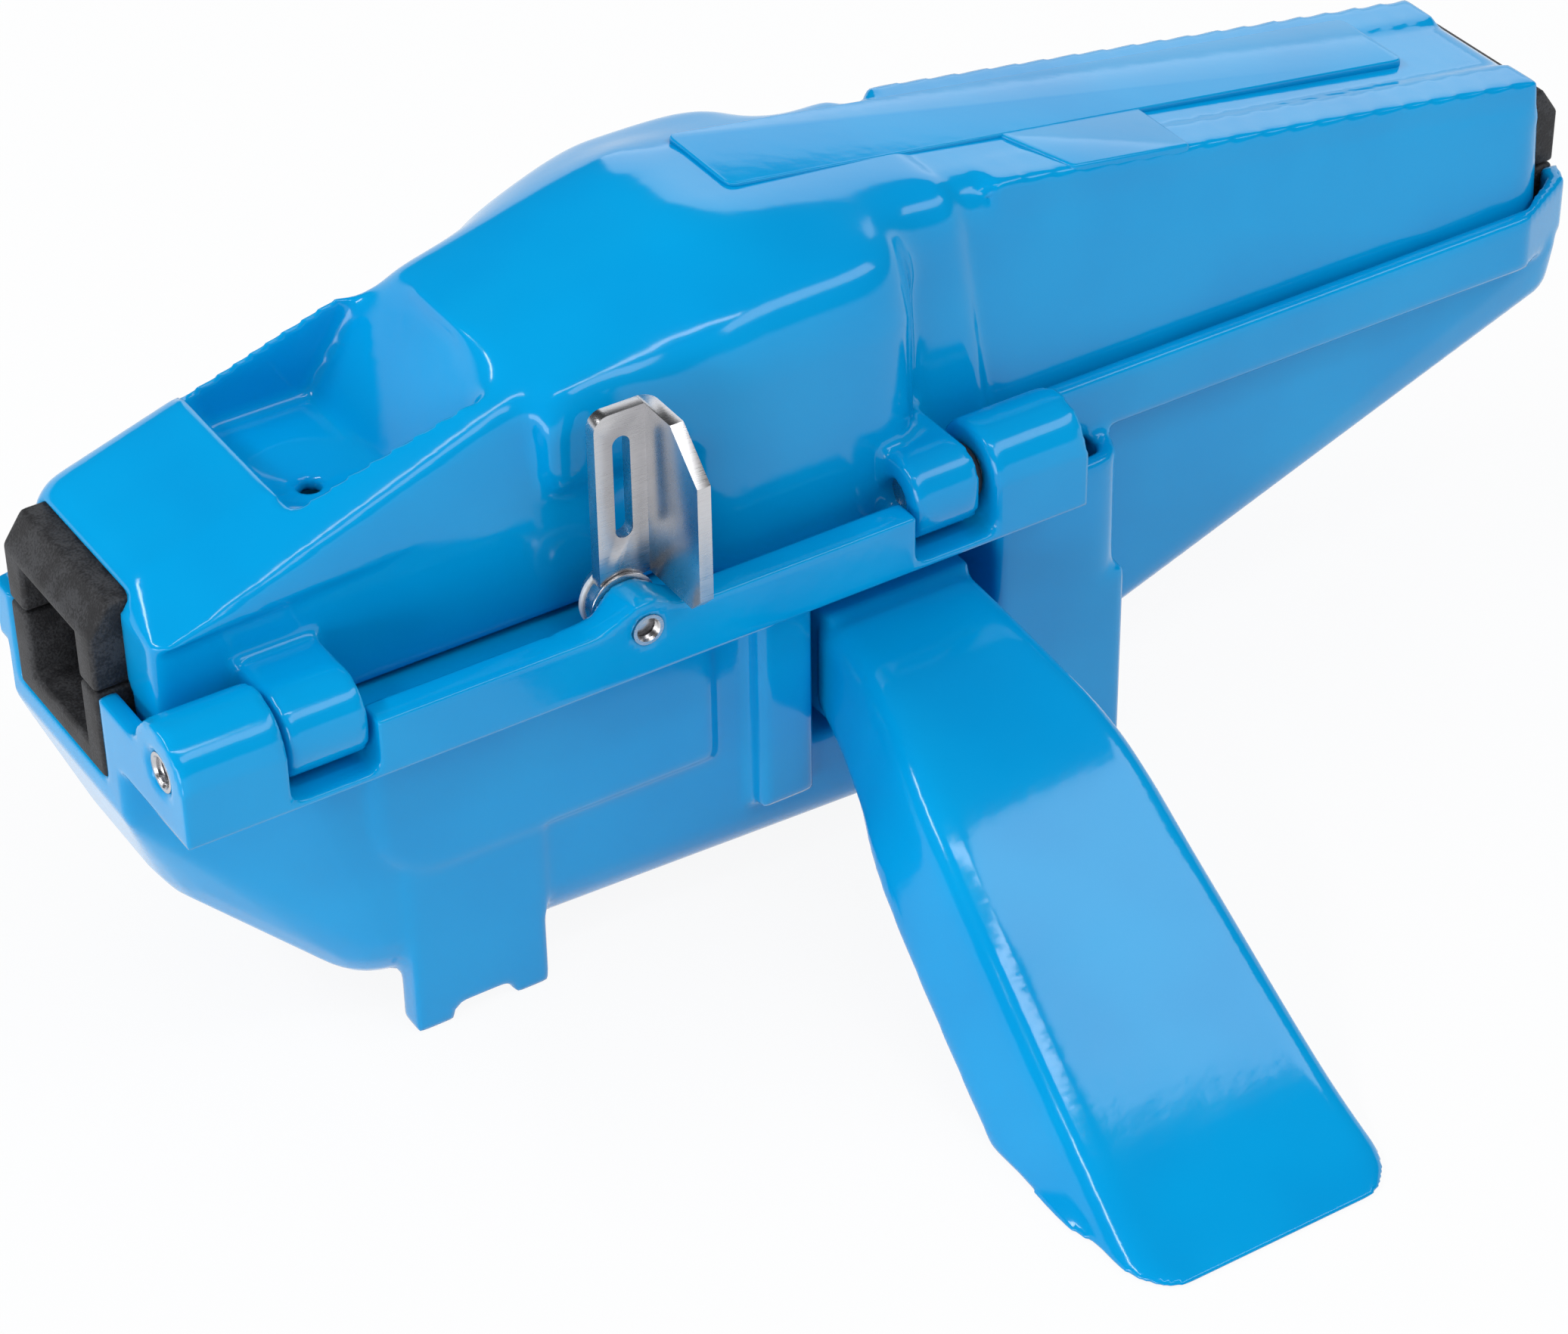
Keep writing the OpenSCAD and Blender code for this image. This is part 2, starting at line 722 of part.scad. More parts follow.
function grip_slope(i) = let (a = max(i - 1, 0), b = min(i + 1, len(grip_out) - 1))
  atan2(grip_drop[b] - grip_drop[a], grip_out[b] - grip_out[a]);

module grip_station(i) {
  a = i == 0 ? 0 : grip_slope(i);
  for (d = [grip_r, grip_depth[i] - grip_r]) {
    y = -hull_half_w - grip_out[i] + d * sin(a);
    z = rim_bottom - grip_drop[i] - d * cos(a);
    flare = d > grip_r ? grip_flare[i] : 0;
    ball(tenon_x + grip_left[i] + grip_r - flare, y, z, grip_r);
    ball(tenon_x + grip_right[i] - grip_r, y, z, grip_r);
  }
}

module handle() {
  color("dodgerblue") difference() {
    union() {
      for (i = [0 : len(grip_out) - 2]) hull() {
        grip_station(i);
        grip_station(i + 1);
      }
      slab(tenon_x, tenon_x + tenon_l, -hull_half_w - grip_r, socket_back_y, tenon_bottom_z, tenon_top_z);
    }
    slab(socket_x - body_len, rear_x, -hull_half_w - grip_seat, 0, socket_top_z, 0);
    slab(socket_x - body_len, tenon_x, -hull_half_w - grip_seat, 0, -hull_depth, 0);
    slab(tenon_x + tenon_l, rear_x, -hull_half_w - grip_seat, 0, -hull_depth, 0);
    slab(front_x, rear_x, -body_len, 0, -body_len, -stand_h);
    grip_screw_places() rod_y(socket_back_y - grip_screw_l, socket_back_y, 0, 0, grip_screw_d / 2);
  }
}

module handle_screws() {
  color("dimgray") grip_screw_places() difference() {
    union() {
      rod_y(socket_back_y + socket_wall, socket_back_y + socket_wall + grip_head_h, 0, 0, grip_head_d / 2);
      rod_y(socket_back_y + socket_wall - grip_screw_l, socket_back_y + socket_wall, 0, 0, grip_screw_d / 2);
    }
    translate([0, socket_back_y + socket_wall + grip_head_h - grip_hex_depth, 0]) rotate([-90, 0, 0])
      linear_extrude(grip_hex_depth + cut) circle(d = grip_hex_d, $fn = 6);
  }
}

module hinge_pin_front() {
  color("silver") rod_x(front_x + pin_inset, front_lid_knuckle_x + lid_knuckle_l - pin_inset, -hinge_y, 0,
    hinge_pin_d / 2);
}

module hinge_pin_rear() {
  color("silver") rod_x(rear_lid_knuckle_x + pin_inset, rear_base_knuckle_end - pin_inset, -hinge_y, 0,
    hinge_pin_d / 2);
}

module hinge_ring() {
  tube_r = ring_gap / 2 - part_gap / 4;
  color("black") translate([ring_x, -hinge_y, 0]) rotate([0, 90, 0]) rotate_extrude()
    translate([hinge_pin_d / 2 + tube_r, 0]) circle(tube_r, $fn = hull_fn);
}

// Flat outline of the latch lever, round at its foot and slotted
module lever_outline() {
  translate([latch_x, latch_z]) difference() {
    union() {
      circle(lever_foot_r);
      translate([-lever_left, 0]) square([2 * lever_left, lever_h / 2]);
      translate([-lever_left, lever_flange_z]) rounded_plate(lever_left + lever_right, lever_h - lever_flange_z,
        lever_corner_r);
      translate([lever_right - lever_t, lever_flange_z]) square([lever_t, lever_h - lever_flange_z]);
    }
    circle(latch_screw_d / 2 + run_gap);
    for (z = [slot_z + slot_w / 2, slot_z + slot_l + slot_w / 2]) translate([slot_x, z]) circle(slot_w / 2);
    translate([slot_x - slot_w / 2, slot_z + slot_w / 2]) square([slot_w, slot_l]);
  }
}

module latch_lever() {
  chamfer = lever_flange / 2;
  color("silver") union() {
    along_y(lever_y, lever_y + lever_t) lever_outline();
    translate([latch_x + lever_right - lever_t, 0, 0]) rotate([90, 0, 90]) linear_extrude(lever_t) polygon([
      [lever_y, latch_z + lever_flange_z],
      [lever_y, latch_z + lever_h],
      [lever_y - lever_flange + chamfer, latch_z + lever_h],
      [lever_y - lever_flange, latch_z + lever_h - chamfer],
      [lever_y - lever_flange, latch_z + lever_flange_z + lever_corner_r],
      [lever_y - lever_flange + lever_corner_r, latch_z + lever_flange_z]]);
  }
}

module latch_screw() {
  color("silver") difference() {
    union() {
      rod_y(latch_screw_inset - rim_out_y, latch_head_y, latch_x, latch_z, latch_screw_d / 2);
      rod_y(latch_head_y, latch_head_y + latch_head_h, latch_x, latch_z, latch_head_d / 2);
    }
    rod_y(latch_head_y + latch_head_h / 2, latch_head_y + latch_head_h + cut, latch_x, latch_z,
      latch_head_d / 4);
  }
}

module latch_steel_washer() {
  color("silver") difference() {
    rod_y(boss_end_y, lever_y - run_gap, latch_x, latch_z, washer_r);
    rod_y(boss_end_y - cut, lever_y + cut, latch_x, latch_z, latch_screw_d / 2);
  }
}

module latch_nylon_washer() {
  color("white") difference() {
    rod_y(nylon_y + run_gap, latch_head_y, latch_x, latch_z, washer_r);
    rod_y(nylon_y - cut, latch_head_y + cut, latch_x, latch_z, latch_screw_d / 2);
  }
}

// Chain guide at the front, cut down to the part between two heights
module guide_part(z1, z2) {
  difference() {
    along_y(-guide_half_w, guide_half_w) polygon([
      [front_x, z1],
      [front_x, min(guide_face_z, z2)],
      [front_x + guide_slope_l, z2],
      [front_x + guide_l, z2],
      [front_x + guide_l, z1]]);
    slab(front_x - cut, front_x + guide_l + cut, -guide_open_w / 2, guide_open_w / 2,
      guide_open_z - guide_open_h / 2, guide_open_z + guide_open_h / 2);
  }
}

module guide_lower() {
  color("dimgray") guide_part(guide_bottom_z, split_z);
}

module guide_upper() {
  color("dimgray") guide_part(rim_top + seat_gap, guide_top_z);
}

module front_guide_lower() {
  guide_lower();
}

module front_guide_upper() {
  guide_upper();
}

module rear_guide_lower() {
  mirror([1, 0, 0]) guide_lower();
}

module rear_guide_upper() {
  mirror([1, 0, 0]) guide_upper();
}

// Brush wheel along Z with tufts round a hub, centred on the origin
module brush_wheel(r, w, hub_w) {
  tufts = 14;
  hub_r = r * 0.42;
  groove = 0.11 * r;
  color("black") difference() {
    union() {
      rod_z(-w / 2, w / 2, 0, 0, r);
      rod_z(w / 2 - hub_w, w / 2, 0, 0, hub_r);
    }
    for (i = [0 : tufts - 1]) rotate(i * 360 / tufts)
      slab(hub_r, r + cut, -groove / 2, groove / 2, -w / 2 - cut, w / 2 + cut);
    rod_z(w / 2 - hub_w - cut, w / 2 + cut, 0, 0, axle_d / 2 + run_gap);
  }
}

module cross_brush(x, z, r) {
  translate([x, 0, z]) rotate([90, 0, 0]) brush_wheel(r, brush_w, brush_w);
}

module front_lower_brush() {
  cross_brush(front_brush_x, lower_brush_z, lower_brush_r);
}

module rear_lower_brush() {
  cross_brush(rear_brush_x, lower_brush_z, lower_brush_r);
}

module front_upper_brush() {
  cross_brush(front_brush_x, upper_brush_z, upper_brush_r);
}

module rear_upper_brush() {
  cross_brush(rear_brush_x, upper_brush_z, upper_brush_r);
}

module side_brush(side) {
  translate([side_brush_x, side * side_brush_y, 0])
    brush_wheel(side_brush_r, side_brush_h, side_brush_h / 2 - shelf_top_z - part_gap / 2);
}

module near_side_brush() {
  side_brush(-1);
}

module far_side_brush() {
  side_brush(1);
}

module cross_axle(x, z) {
  color("silver") rod_y(-cradle_y - cradle_t, cradle_y + cradle_t, x, z, axle_d / 2);
}

module front_lower_axle() {
  cross_axle(front_brush_x, lower_brush_z);
}

module rear_lower_axle() {
  cross_axle(rear_brush_x, lower_brush_z);
}

module front_upper_axle() {
  cross_axle(front_brush_x, upper_brush_z);
}

module rear_upper_axle() {
  cross_axle(rear_brush_x, upper_brush_z);
}

module side_axle(side) {
  color("silver") rod_z(shelf_top_z - shelf_t, side_axle_top, side_brush_x, side * side_brush_y, axle_d / 2);
}

module near_side_axle() {
  side_axle(-1);
}

module far_side_axle() {
  side_axle(1);
}

module sponge(z) {
  color("gold") slab(sponge_x, sponge_x + sponge_len, -sponge_half_w, sponge_half_w, z, z + sponge_t);
}

module lower_sponge() {
  sponge(-chain_half_h - sponge_t);
}

module upper_sponge() {
  sponge(chain_half_h);
}

module magnet() {
  color("gray") rod_z(magnet_z, magnet_z + magnet_t, magnet_x, 0, magnet_d / 2);
}

base();
lid();
handle();
handle_screws();
hinge_pin_front();
hinge_pin_rear();
hinge_ring();
latch_lever();
latch_screw();
latch_steel_washer();
latch_nylon_washer();
front_guide_lower();
front_guide_upper();
rear_guide_lower();
rear_guide_upper();
front_lower_brush();
rear_lower_brush();
front_upper_brush();
rear_upper_brush();
near_side_brush();
far_side_brush();
front_lower_axle();
rear_lower_axle();
front_upper_axle();
rear_upper_axle();
near_side_axle();
far_side_axle();
lower_sponge();
upper_sponge();
magnet();
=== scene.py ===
"""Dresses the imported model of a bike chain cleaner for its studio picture.

The castings, the latch, the chain guides, the brush wheels and the sponges are built
over the frame's solids. All sizes are in millimetres until they reach a mesh.
"""

from __future__ import annotations

import logging
import math
import random
from dataclasses import dataclass, field
from enum import Enum
from typing import Callable

import bmesh
import bpy
from mathutils import Matrix, Vector


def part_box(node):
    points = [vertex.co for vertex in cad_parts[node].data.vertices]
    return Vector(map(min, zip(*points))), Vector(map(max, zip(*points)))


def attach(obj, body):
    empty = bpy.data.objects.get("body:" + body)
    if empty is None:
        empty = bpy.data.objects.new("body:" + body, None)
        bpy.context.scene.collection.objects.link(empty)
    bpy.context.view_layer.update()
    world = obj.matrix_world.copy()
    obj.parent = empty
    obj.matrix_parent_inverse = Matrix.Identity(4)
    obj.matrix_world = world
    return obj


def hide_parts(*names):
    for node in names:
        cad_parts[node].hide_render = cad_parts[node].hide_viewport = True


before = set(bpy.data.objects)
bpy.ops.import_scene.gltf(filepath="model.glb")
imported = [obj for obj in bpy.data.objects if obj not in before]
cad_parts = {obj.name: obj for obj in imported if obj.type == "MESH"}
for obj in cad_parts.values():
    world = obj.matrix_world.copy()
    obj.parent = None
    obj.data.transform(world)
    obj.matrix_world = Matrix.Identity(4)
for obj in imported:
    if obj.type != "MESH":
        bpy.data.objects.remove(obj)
log = logging.getLogger("chain_cleaner")

MM = 0.001
WELD = 0.002
Colour = tuple[float, float, float]
Point = tuple[float, float, float]


class Side(Enum):
    """Side of the chain that a piece lies on."""

    NEAR = -1
    FAR = 1


class End(Enum):
    """End of the tool that a piece belongs to."""

    FRONT = "front"
    REAR = "rear"


class Level(Enum):
    """Whether a piece lies below or above the chain."""

    LOWER = "lower"
    UPPER = "upper"


# Materials


class Signal:
    """One number on its way through a material, with arithmetic that adds its nodes."""

    def __init__(self, recipe: Recipe, socket: bpy.types.NodeSocket) -> None:
        """Wraps an output socket.

        Args:
            recipe: The material being mixed.
            socket: The output that carries the number.
        """
        self.recipe = recipe
        self.socket = socket

    def _sum(self, operation: str, first: Value, second: Value) -> Signal:
        """Adds one Math node.

        Args:
            operation: The node's operation.
            first: Its first number or signal.
            second: Its second number or signal.

        Returns:
            The node's result.
        """
        node = self.recipe.node("ShaderNodeMath", {"operation": operation}, {0: first, 1: second})
        return Signal(self.recipe, node.outputs[0])

    def __add__(self, other: Value) -> Signal:
        """Adds a number or a signal."""
        return self._sum("ADD", self, other)

    def __radd__(self, other: Value) -> Signal:
        """Adds this to a number."""
        return self._sum("ADD", other, self)

    def __sub__(self, other: Value) -> Signal:
        """Takes a number or a signal away."""
        return self._sum("SUBTRACT", self, other)

    def __rsub__(self, other: Value) -> Signal:
        """Takes this away from a number."""
        return self._sum("SUBTRACT", other, self)

    def __mul__(self, other: Value) -> Signal:
        """Multiplies by a number or a signal."""
        return self._sum("MULTIPLY", self, other)

    def __rmul__(self, other: Value) -> Signal:
        """Multiplies a number by this."""
        return self._sum("MULTIPLY", other, self)

    def ramp(self, low: float, high: float) -> Signal:
        """Rises smoothly from 0 at one value to 1 at another.

        Args:
            low: Where it starts to rise.
            high: Where it is full.

        Returns:
            The eased signal.
        """
        node = self.recipe.node("ShaderNodeMapRange", {"interpolation_type": "SMOOTHSTEP"},
                                {0: self, 1: low, 2: high})
        return Signal(self.recipe, node.outputs[0])


Value = float | int | Signal


class Recipe:
    """One material or world being mixed, with its shader and its coordinates."""

    def __init__(self, name: str, world: bpy.types.World | None = None) -> None:
        """Starts with an empty node tree.

        Args:
            name: The material's name.
            world: A world to mix instead of a new material.
        """
        self.material = bpy.data.materials.new(name) if world is None else world
        self.material.use_nodes = True
        self.tree = self.material.node_tree
        self.tree.nodes.clear()
        self.coords = self.node("ShaderNodeTexCoord", {}, {}).outputs
        self.place = self.coords["Object"]

    def node(self, kind: str, settings: dict[str, object], inputs: dict[object, object]) -> bpy.types.Node:
        """Adds a node, sets it, and then fills its sockets.

        Args:
            kind: The node's type.
            settings: Its settings by name.
            inputs: Values, signals or output sockets, by socket name or number.

        Returns:
            The new node.
        """
        made = self.tree.nodes.new(kind)
        for name, value in settings.items():
            setattr(made, name, value)
        for key, value in inputs.items():
            socket = made.inputs[key]
            source = value.socket if isinstance(value, Signal) else value
            if isinstance(source, bpy.types.NodeSocket):
                self.tree.links.new(source, socket)
            elif isinstance(source, tuple) and len(source) == 3 and socket.type == "RGBA":
                socket.default_value = (*source, 1.0)
            else:
                socket.default_value = source
        return made

    def stretched(self, scale: Point) -> bpy.types.NodeSocket:
        """Object coordinates drawn out along an axis.

        Args:
            scale: Factor along X, Y and Z.

        Returns:
            The vector's socket.
        """
        return self.node("ShaderNodeMapping", {}, {"Vector": self.place, "Scale": scale}).outputs[0]

    def noise(self, size: float, detail: float = 2.0, at: bpy.types.NodeSocket | None = None) -> Signal:
        """Soft noise.

        Args:
            size: Width of its grains in millimetres.
            detail: How many finer layers it has.
            at: Coordinates, or None for the object's own.

        Returns:
            The noise, about 0 to 1.
        """
        made = self.node("ShaderNodeTexNoise", {},
                         {"Vector": at or self.place, "Scale": 1 / (size * MM), "Detail": detail})
        return Signal(self, made.outputs[0])

    def cells(self, size: float) -> Signal:
        """Distance from the middle of packed cells.

        Args:
            size: Width of a cell in millimetres.

        Returns:
            The distance, 0 in the middle of a cell.
        """
        made = self.node("ShaderNodeTexVoronoi", {"feature": "F1"},
                         {"Vector": self.place, "Scale": 1 / (size * MM)})
        return Signal(self, made.outputs["Distance"])

    def blend(self, first: Colour, second: Colour, share: Signal) -> bpy.types.NodeSocket:
        """Mixes two colours.

        Args:
            first: The colour at 0.
            second: The colour at 1.
            share: Where it lies between them.

        Returns:
            The colour's socket.
        """
        made = self.node("ShaderNodeMix", {"data_type": "RGBA"}, {0: share, 6: first, 7: second})
        return made.outputs[2]

    def relief(self, height: Signal, depth: float, strength: float = 1.0) -> bpy.types.NodeSocket:
        """Turns a height into a bumped normal.

        Args:
            height: The height, 0 to 1.
            depth: How deep the relief is, in millimetres.
            strength: How much of it shows.

        Returns:
            The normal's socket.
        """
        made = self.node("ShaderNodeBump", {},
                         {"Strength": strength, "Distance": depth * MM, "Height": height})
        return made.outputs[0]

    def done(self, **sockets: object) -> bpy.types.Material:
        """Closes the material with its shader.

        Args:
            sockets: The shader's sockets by name, with _ for a space.

        Returns:
            The finished material.
        """
        named = {name.replace("_", " "): value for name, value in sockets.items()}
        shader = self.node("ShaderNodeBsdfPrincipled", {}, named)
        self.node("ShaderNodeOutputMaterial", {}, {"Surface": shader.outputs[0]})
        return self.material


@dataclass(frozen=True)
class GlossPaint:
    """Thick glossy enamel on a casting, with a faint orange peel."""

    colour: Colour = (0.0, 0.33, 0.69)
    deep: Colour = (0.0, 0.292, 0.64)
    peel: float = 3.4
    peel_depth: float = 0.05

    def material(self) -> bpy.types.Material:
        """Mixes the enamel."""
        mix = Recipe("gloss_paint")
        cloud = mix.noise(30, 2).ramp(0.3, 0.7)
        peel = mix.noise(self.peel, 1) + 0.25 * mix.noise(0.9, 1)
        return mix.done(
            Base_Color=mix.blend(self.deep, self.colour, cloud),
            Roughness=0.09 + 0.05 * mix.noise(8, 3),
            Specular_IOR_Level=0.36,
            Normal=mix.relief(peel, self.peel_depth, 0.5))


@dataclass(frozen=True)
class GrainedNylon:
    """Black moulded nylon with a sandy skin and paler scuffs."""

    colour: Colour = (0.016, 0.016, 0.018)
    scuff: Colour = (0.045, 0.046, 0.05)

    def material(self) -> bpy.types.Material:
        """Mixes the nylon."""
        mix = Recipe("grained_nylon")
        grain = mix.noise(0.35, 3)
        patch = mix.noise(3.5, 4)
        return mix.done(
            Base_Color=mix.blend(self.colour, self.scuff, (patch * grain * 2.2).ramp(0.35, 0.8)),
            Roughness=0.46 + 0.22 * patch,
            Specular_IOR_Level=0.3,
            Normal=mix.relief(grain + 0.6 * patch, 0.12, 0.75))


@dataclass(frozen=True)
class SatinSteel:
    """Stainless steel sheet or turned steel with a fine lay."""

    name: str = "satin_steel"
    colour: Colour = (0.64, 0.635, 0.65)
    dark: Colour = (0.54, 0.54, 0.555)
    roughness: float = 0.24
    lay: Point = (0.06, 1.0, 1.0)

    def material(self) -> bpy.types.Material:
        """Mixes the steel."""
        mix = Recipe(self.name)
        lines = mix.noise(0.16, 2, mix.stretched(self.lay))
        blotch = mix.noise(5, 3)
        return mix.done(
            Base_Color=mix.blend(self.dark, self.colour, (0.5 * lines + 0.5 * blotch).ramp(0.25, 0.75)),
            Metallic=1.0,
            Roughness=self.roughness + 0.16 * lines * blotch,
            Normal=mix.relief(lines, 0.01, 0.5))


@dataclass(frozen=True)
class WhiteNylon:
    """White washer nylon, a little waxy."""

    colour: Colour = (0.78, 0.79, 0.78)
    shade: Colour = (0.66, 0.67, 0.66)

    def material(self) -> bpy.types.Material:
        """Mixes the white nylon."""
        mix = Recipe("white_nylon")
        wax = mix.noise(1.2, 3)
        return mix.done(
            Base_Color=mix.blend(self.shade, self.colour, wax.ramp(0.3, 0.6)),
            Roughness=0.3 + 0.15 * wax,
            Normal=mix.relief(wax, 0.02, 0.5))


@dataclass(frozen=True)
class SealRubber:
    """Black rubber of the ring between the hinge knuckles."""

    colour: Colour = (0.016, 0.016, 0.018)
    bloom: Colour = (0.035, 0.035, 0.038)

    def material(self) -> bpy.types.Material:
        """Mixes the rubber."""
        mix = Recipe("seal_rubber")
        dust = mix.noise(0.8, 4)
        return mix.done(
            Base_Color=mix.blend(self.colour, self.bloom, dust.ramp(0.45, 0.75)),
            Roughness=0.5 + 0.2 * dust,
            Normal=mix.relief(dust, 0.02, 0.6))


@dataclass(frozen=True)
class BristleNylon:
    """Black nylon of the brush hubs and their strands."""

    colour: Colour = (0.02, 0.02, 0.023)
    tip: Colour = (0.06, 0.06, 0.065)

    def material(self) -> bpy.types.Material:
        """Mixes the strands' nylon."""
        mix = Recipe("bristle_nylon")
        strand = mix.noise(0.6, 2)
        return mix.done(
            Base_Color=mix.blend(self.colour, self.tip, strand.ramp(0.35, 0.7)),
            Roughness=0.38 + 0.2 * strand,
            Normal=mix.relief(mix.noise(0.25, 1), 0.02, 0.5))


@dataclass(frozen=True)
class OpenFoam:
    """Golden open-celled foam of the sponges, with painted shade darkening its pores."""

    colour: Colour = (0.80, 0.56, 0.16)
    # Darker colour painted into the pores as their shade, not a colour of the foam itself.
    pore_shade: Colour = (0.42, 0.26, 0.06)

    def material(self) -> bpy.types.Material:
        """Mixes the foam."""
        mix = Recipe("open_foam")
        pores = mix.cells(0.9)
        big = mix.cells(2.3)
        skin = (0.6 * pores + 0.4 * big).ramp(0.12, 0.55)
        return mix.done(
            # The cell mask that sinks the pores in the bump also paints shade into them.
            Base_Color=mix.blend(self.pore_shade, self.colour, skin),
            Roughness=0.85 + 0.1 * pores,
            Specular_IOR_Level=0.2,
            Normal=mix.relief(skin, 0.45, 0.9))


@dataclass(frozen=True)
class DullSteel:
    """Plated steel of screws and of the magnet, clouded by handling."""

    name: str = "screw_steel"
    colour: Colour = (0.16, 0.165, 0.175)
    bright: Colour = (0.30, 0.30, 0.31)
    roughness: float = 0.34

    def material(self) -> bpy.types.Material:
        """Mixes the plating."""
        mix = Recipe(self.name)
        cloud = mix.noise(2.5, 4)
        return mix.done(
            Base_Color=mix.blend(self.colour, self.bright, cloud.ramp(0.3, 0.7)),
            Metallic=1.0,
            Roughness=self.roughness + 0.18 * cloud,
            Normal=mix.relief(mix.noise(0.3, 2), 0.01, 0.4))


@dataclass
class Paintbox:
    """The finishes of the whole tool, each mixed once and kept by its slot."""

    made: dict[str, bpy.types.Material] = field(default_factory=dict)

    def fill(self) -> None:
        """Mixes every finish under the name of its slot."""
        self.made = {
            "paint_blue": GlossPaint().material(),
            "steel": SatinSteel().material(),
            "black_nylon": GrainedNylon().material(),
            "white_nylon": WhiteNylon().material(),
            "bristle": BristleNylon().material(),
            "foam": OpenFoam().material(),
            "seal_rubber": SealRubber().material(),
            "screw_steel": DullSteel().material(),
            "magnet_steel": DullSteel("magnet_steel", (0.45, 0.45, 0.46), (0.6, 0.6, 0.6), 0.2).material(),
        }

    def coat(self, piece: bpy.types.Object, slot: str) -> None:
        """Gives a piece one finish all over.

        Args:
            piece: The piece to coat.
            slot: The slot that names the finish.
        """
        piece.data.materials.clear()
        piece.data.materials.append(self.made[slot])

    def coat_nodes(self, slot: str, *names: str) -> None:
        """Gives carried-over nodes one finish.

        Args:
            slot: The slot that names the finish.
            names: The nodes.
        """
        for name in names:
            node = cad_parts[name]
            for place in node.material_slots:
                place.material = self.made[slot]
            log.info("%s keeps its solid and gets %s", name, slot)


# Workshop


def pick(*pieces: bpy.types.Object) -> None:
    """Selects these pieces alone and makes the first one active."""
    bpy.ops.object.select_all(action="DESELECT")
    for piece in pieces:
        piece.select_set(True)
    bpy.context.view_layer.objects.active = pieces[0]


def modify(piece: bpy.types.Object, kind: str, **settings: object) -> None:
    """Adds a modifier and applies it.

    Args:
        piece: The piece to change.
        kind: The modifier's type.
        settings: Its settings by name.
    """
    modifier = piece.modifiers.new(kind.lower(), kind)
    for name, value in settings.items():
        setattr(modifier, name, value)
    pick(piece)
    bpy.ops.object.modifier_apply(modifier=modifier.name)


def node_copy(node: str, name: str) -> bpy.types.Object:
    """Copies a node's solid into a new piece with its triangles merged.

    Args:
        node: The node to copy.
        name: The new piece's name.

    Returns:
        The new piece, at the origin.
    """
    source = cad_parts[node]
    mesh = source.data.copy()
    mesh.transform(source.matrix_world)
    piece = bpy.data.objects.new(name, mesh)
    bpy.context.scene.collection.objects.link(piece)
    pick(piece)
    bpy.ops.object.mode_set(mode="EDIT")
    bpy.ops.mesh.select_all(action="SELECT")
    bpy.ops.mesh.remove_doubles(threshold=WELD * MM)
    bpy.ops.mesh.dissolve_limited(angle_limit=math.radians(0.5))
    bpy.ops.object.mode_set(mode="OBJECT")
    return piece


def select_where(piece: bpy.types.Object, element: str, test: Callable[[Vector], bool]) -> int:
    """Selects a piece's vertices, edges or faces by place, in millimetres.

    Args:
        piece: The piece, in object mode.
        element: "verts", "edges" or "faces".
        test: Says of each vertex's place whether it counts.

    Returns:
        How many were selected.
    """
    pick(piece)
    bpy.ops.object.mode_set(mode="EDIT")
    mesh = bmesh.from_edit_mesh(piece.data)
    for face in mesh.faces:
        face.select_set(False)
    for edge in mesh.edges:
        edge.select_set(False)
    for vert in mesh.verts:
        vert.select_set(False)
    bpy.context.tool_settings.mesh_select_mode = (element == "verts", element == "edges", element == "faces")
    chosen = 0
    for part in getattr(mesh, element):
        corners = [part.co] if element == "verts" else [vert.co for vert in part.verts]
        if all(test(corner / MM) for corner in corners):
            part.select_set(True)
            chosen += 1
    bmesh.update_edit_mesh(piece.data)
    return chosen


def join(first: bpy.types.Object, *others: bpy.types.Object) -> bpy.types.Object:
    """Joins pieces into the first one.

    Args:
        first: The piece that stays.
        others: The pieces that go into it.

    Returns:
        The joined piece.
    """
    pick(first, *others)
    bpy.ops.object.join()
    return first


def settle(piece: bpy.types.Object) -> bpy.types.Object:
    """Puts a piece's place and turn into its mesh, and returns it."""
    pick(piece)
    bpy.ops.object.transform_apply(location=True, rotation=True, scale=True)
    return piece


def loose(name: str, verts: list[Point], edges: list[tuple[int, int]],
          faces: list[list[int]]) -> bpy.types.Object:
    """Makes a piece straight from its points, edges and faces, and picks it.

    Args:
        name: The new piece's name.
        verts: Its points in millimetres.
        edges: Its loose edges.
        faces: Its faces.

    Returns:
        The piece, at the origin.
    """
    mesh = bpy.data.meshes.new(name)
    mesh.from_pydata([tuple(value * MM for value in vert) for vert in verts], edges, faces)
    made = bpy.data.objects.new(name, mesh)
    bpy.context.scene.collection.objects.link(made)
    pick(made)
    return made


def block(name: str, low: Point, high: Point) -> bpy.types.Object:
    """A block between two corners, as a start for a shape.

    Args:
        name: Its name.
        low: Its lowest corner in millimetres.
        high: Its highest corner in millimetres.

    Returns:
        The block, at the origin.
    """
    middle = [(a + b) / 2 * MM for a, b in zip(low, high)]
    bpy.ops.object.select_all(action="DESELECT")
    bpy.ops.mesh.primitive_cube_add(size=1, location=middle)
    made = bpy.context.active_object
    made.name = name
    made.scale = [(b - a) * MM for a, b in zip(low, high)]
    return settle(made)


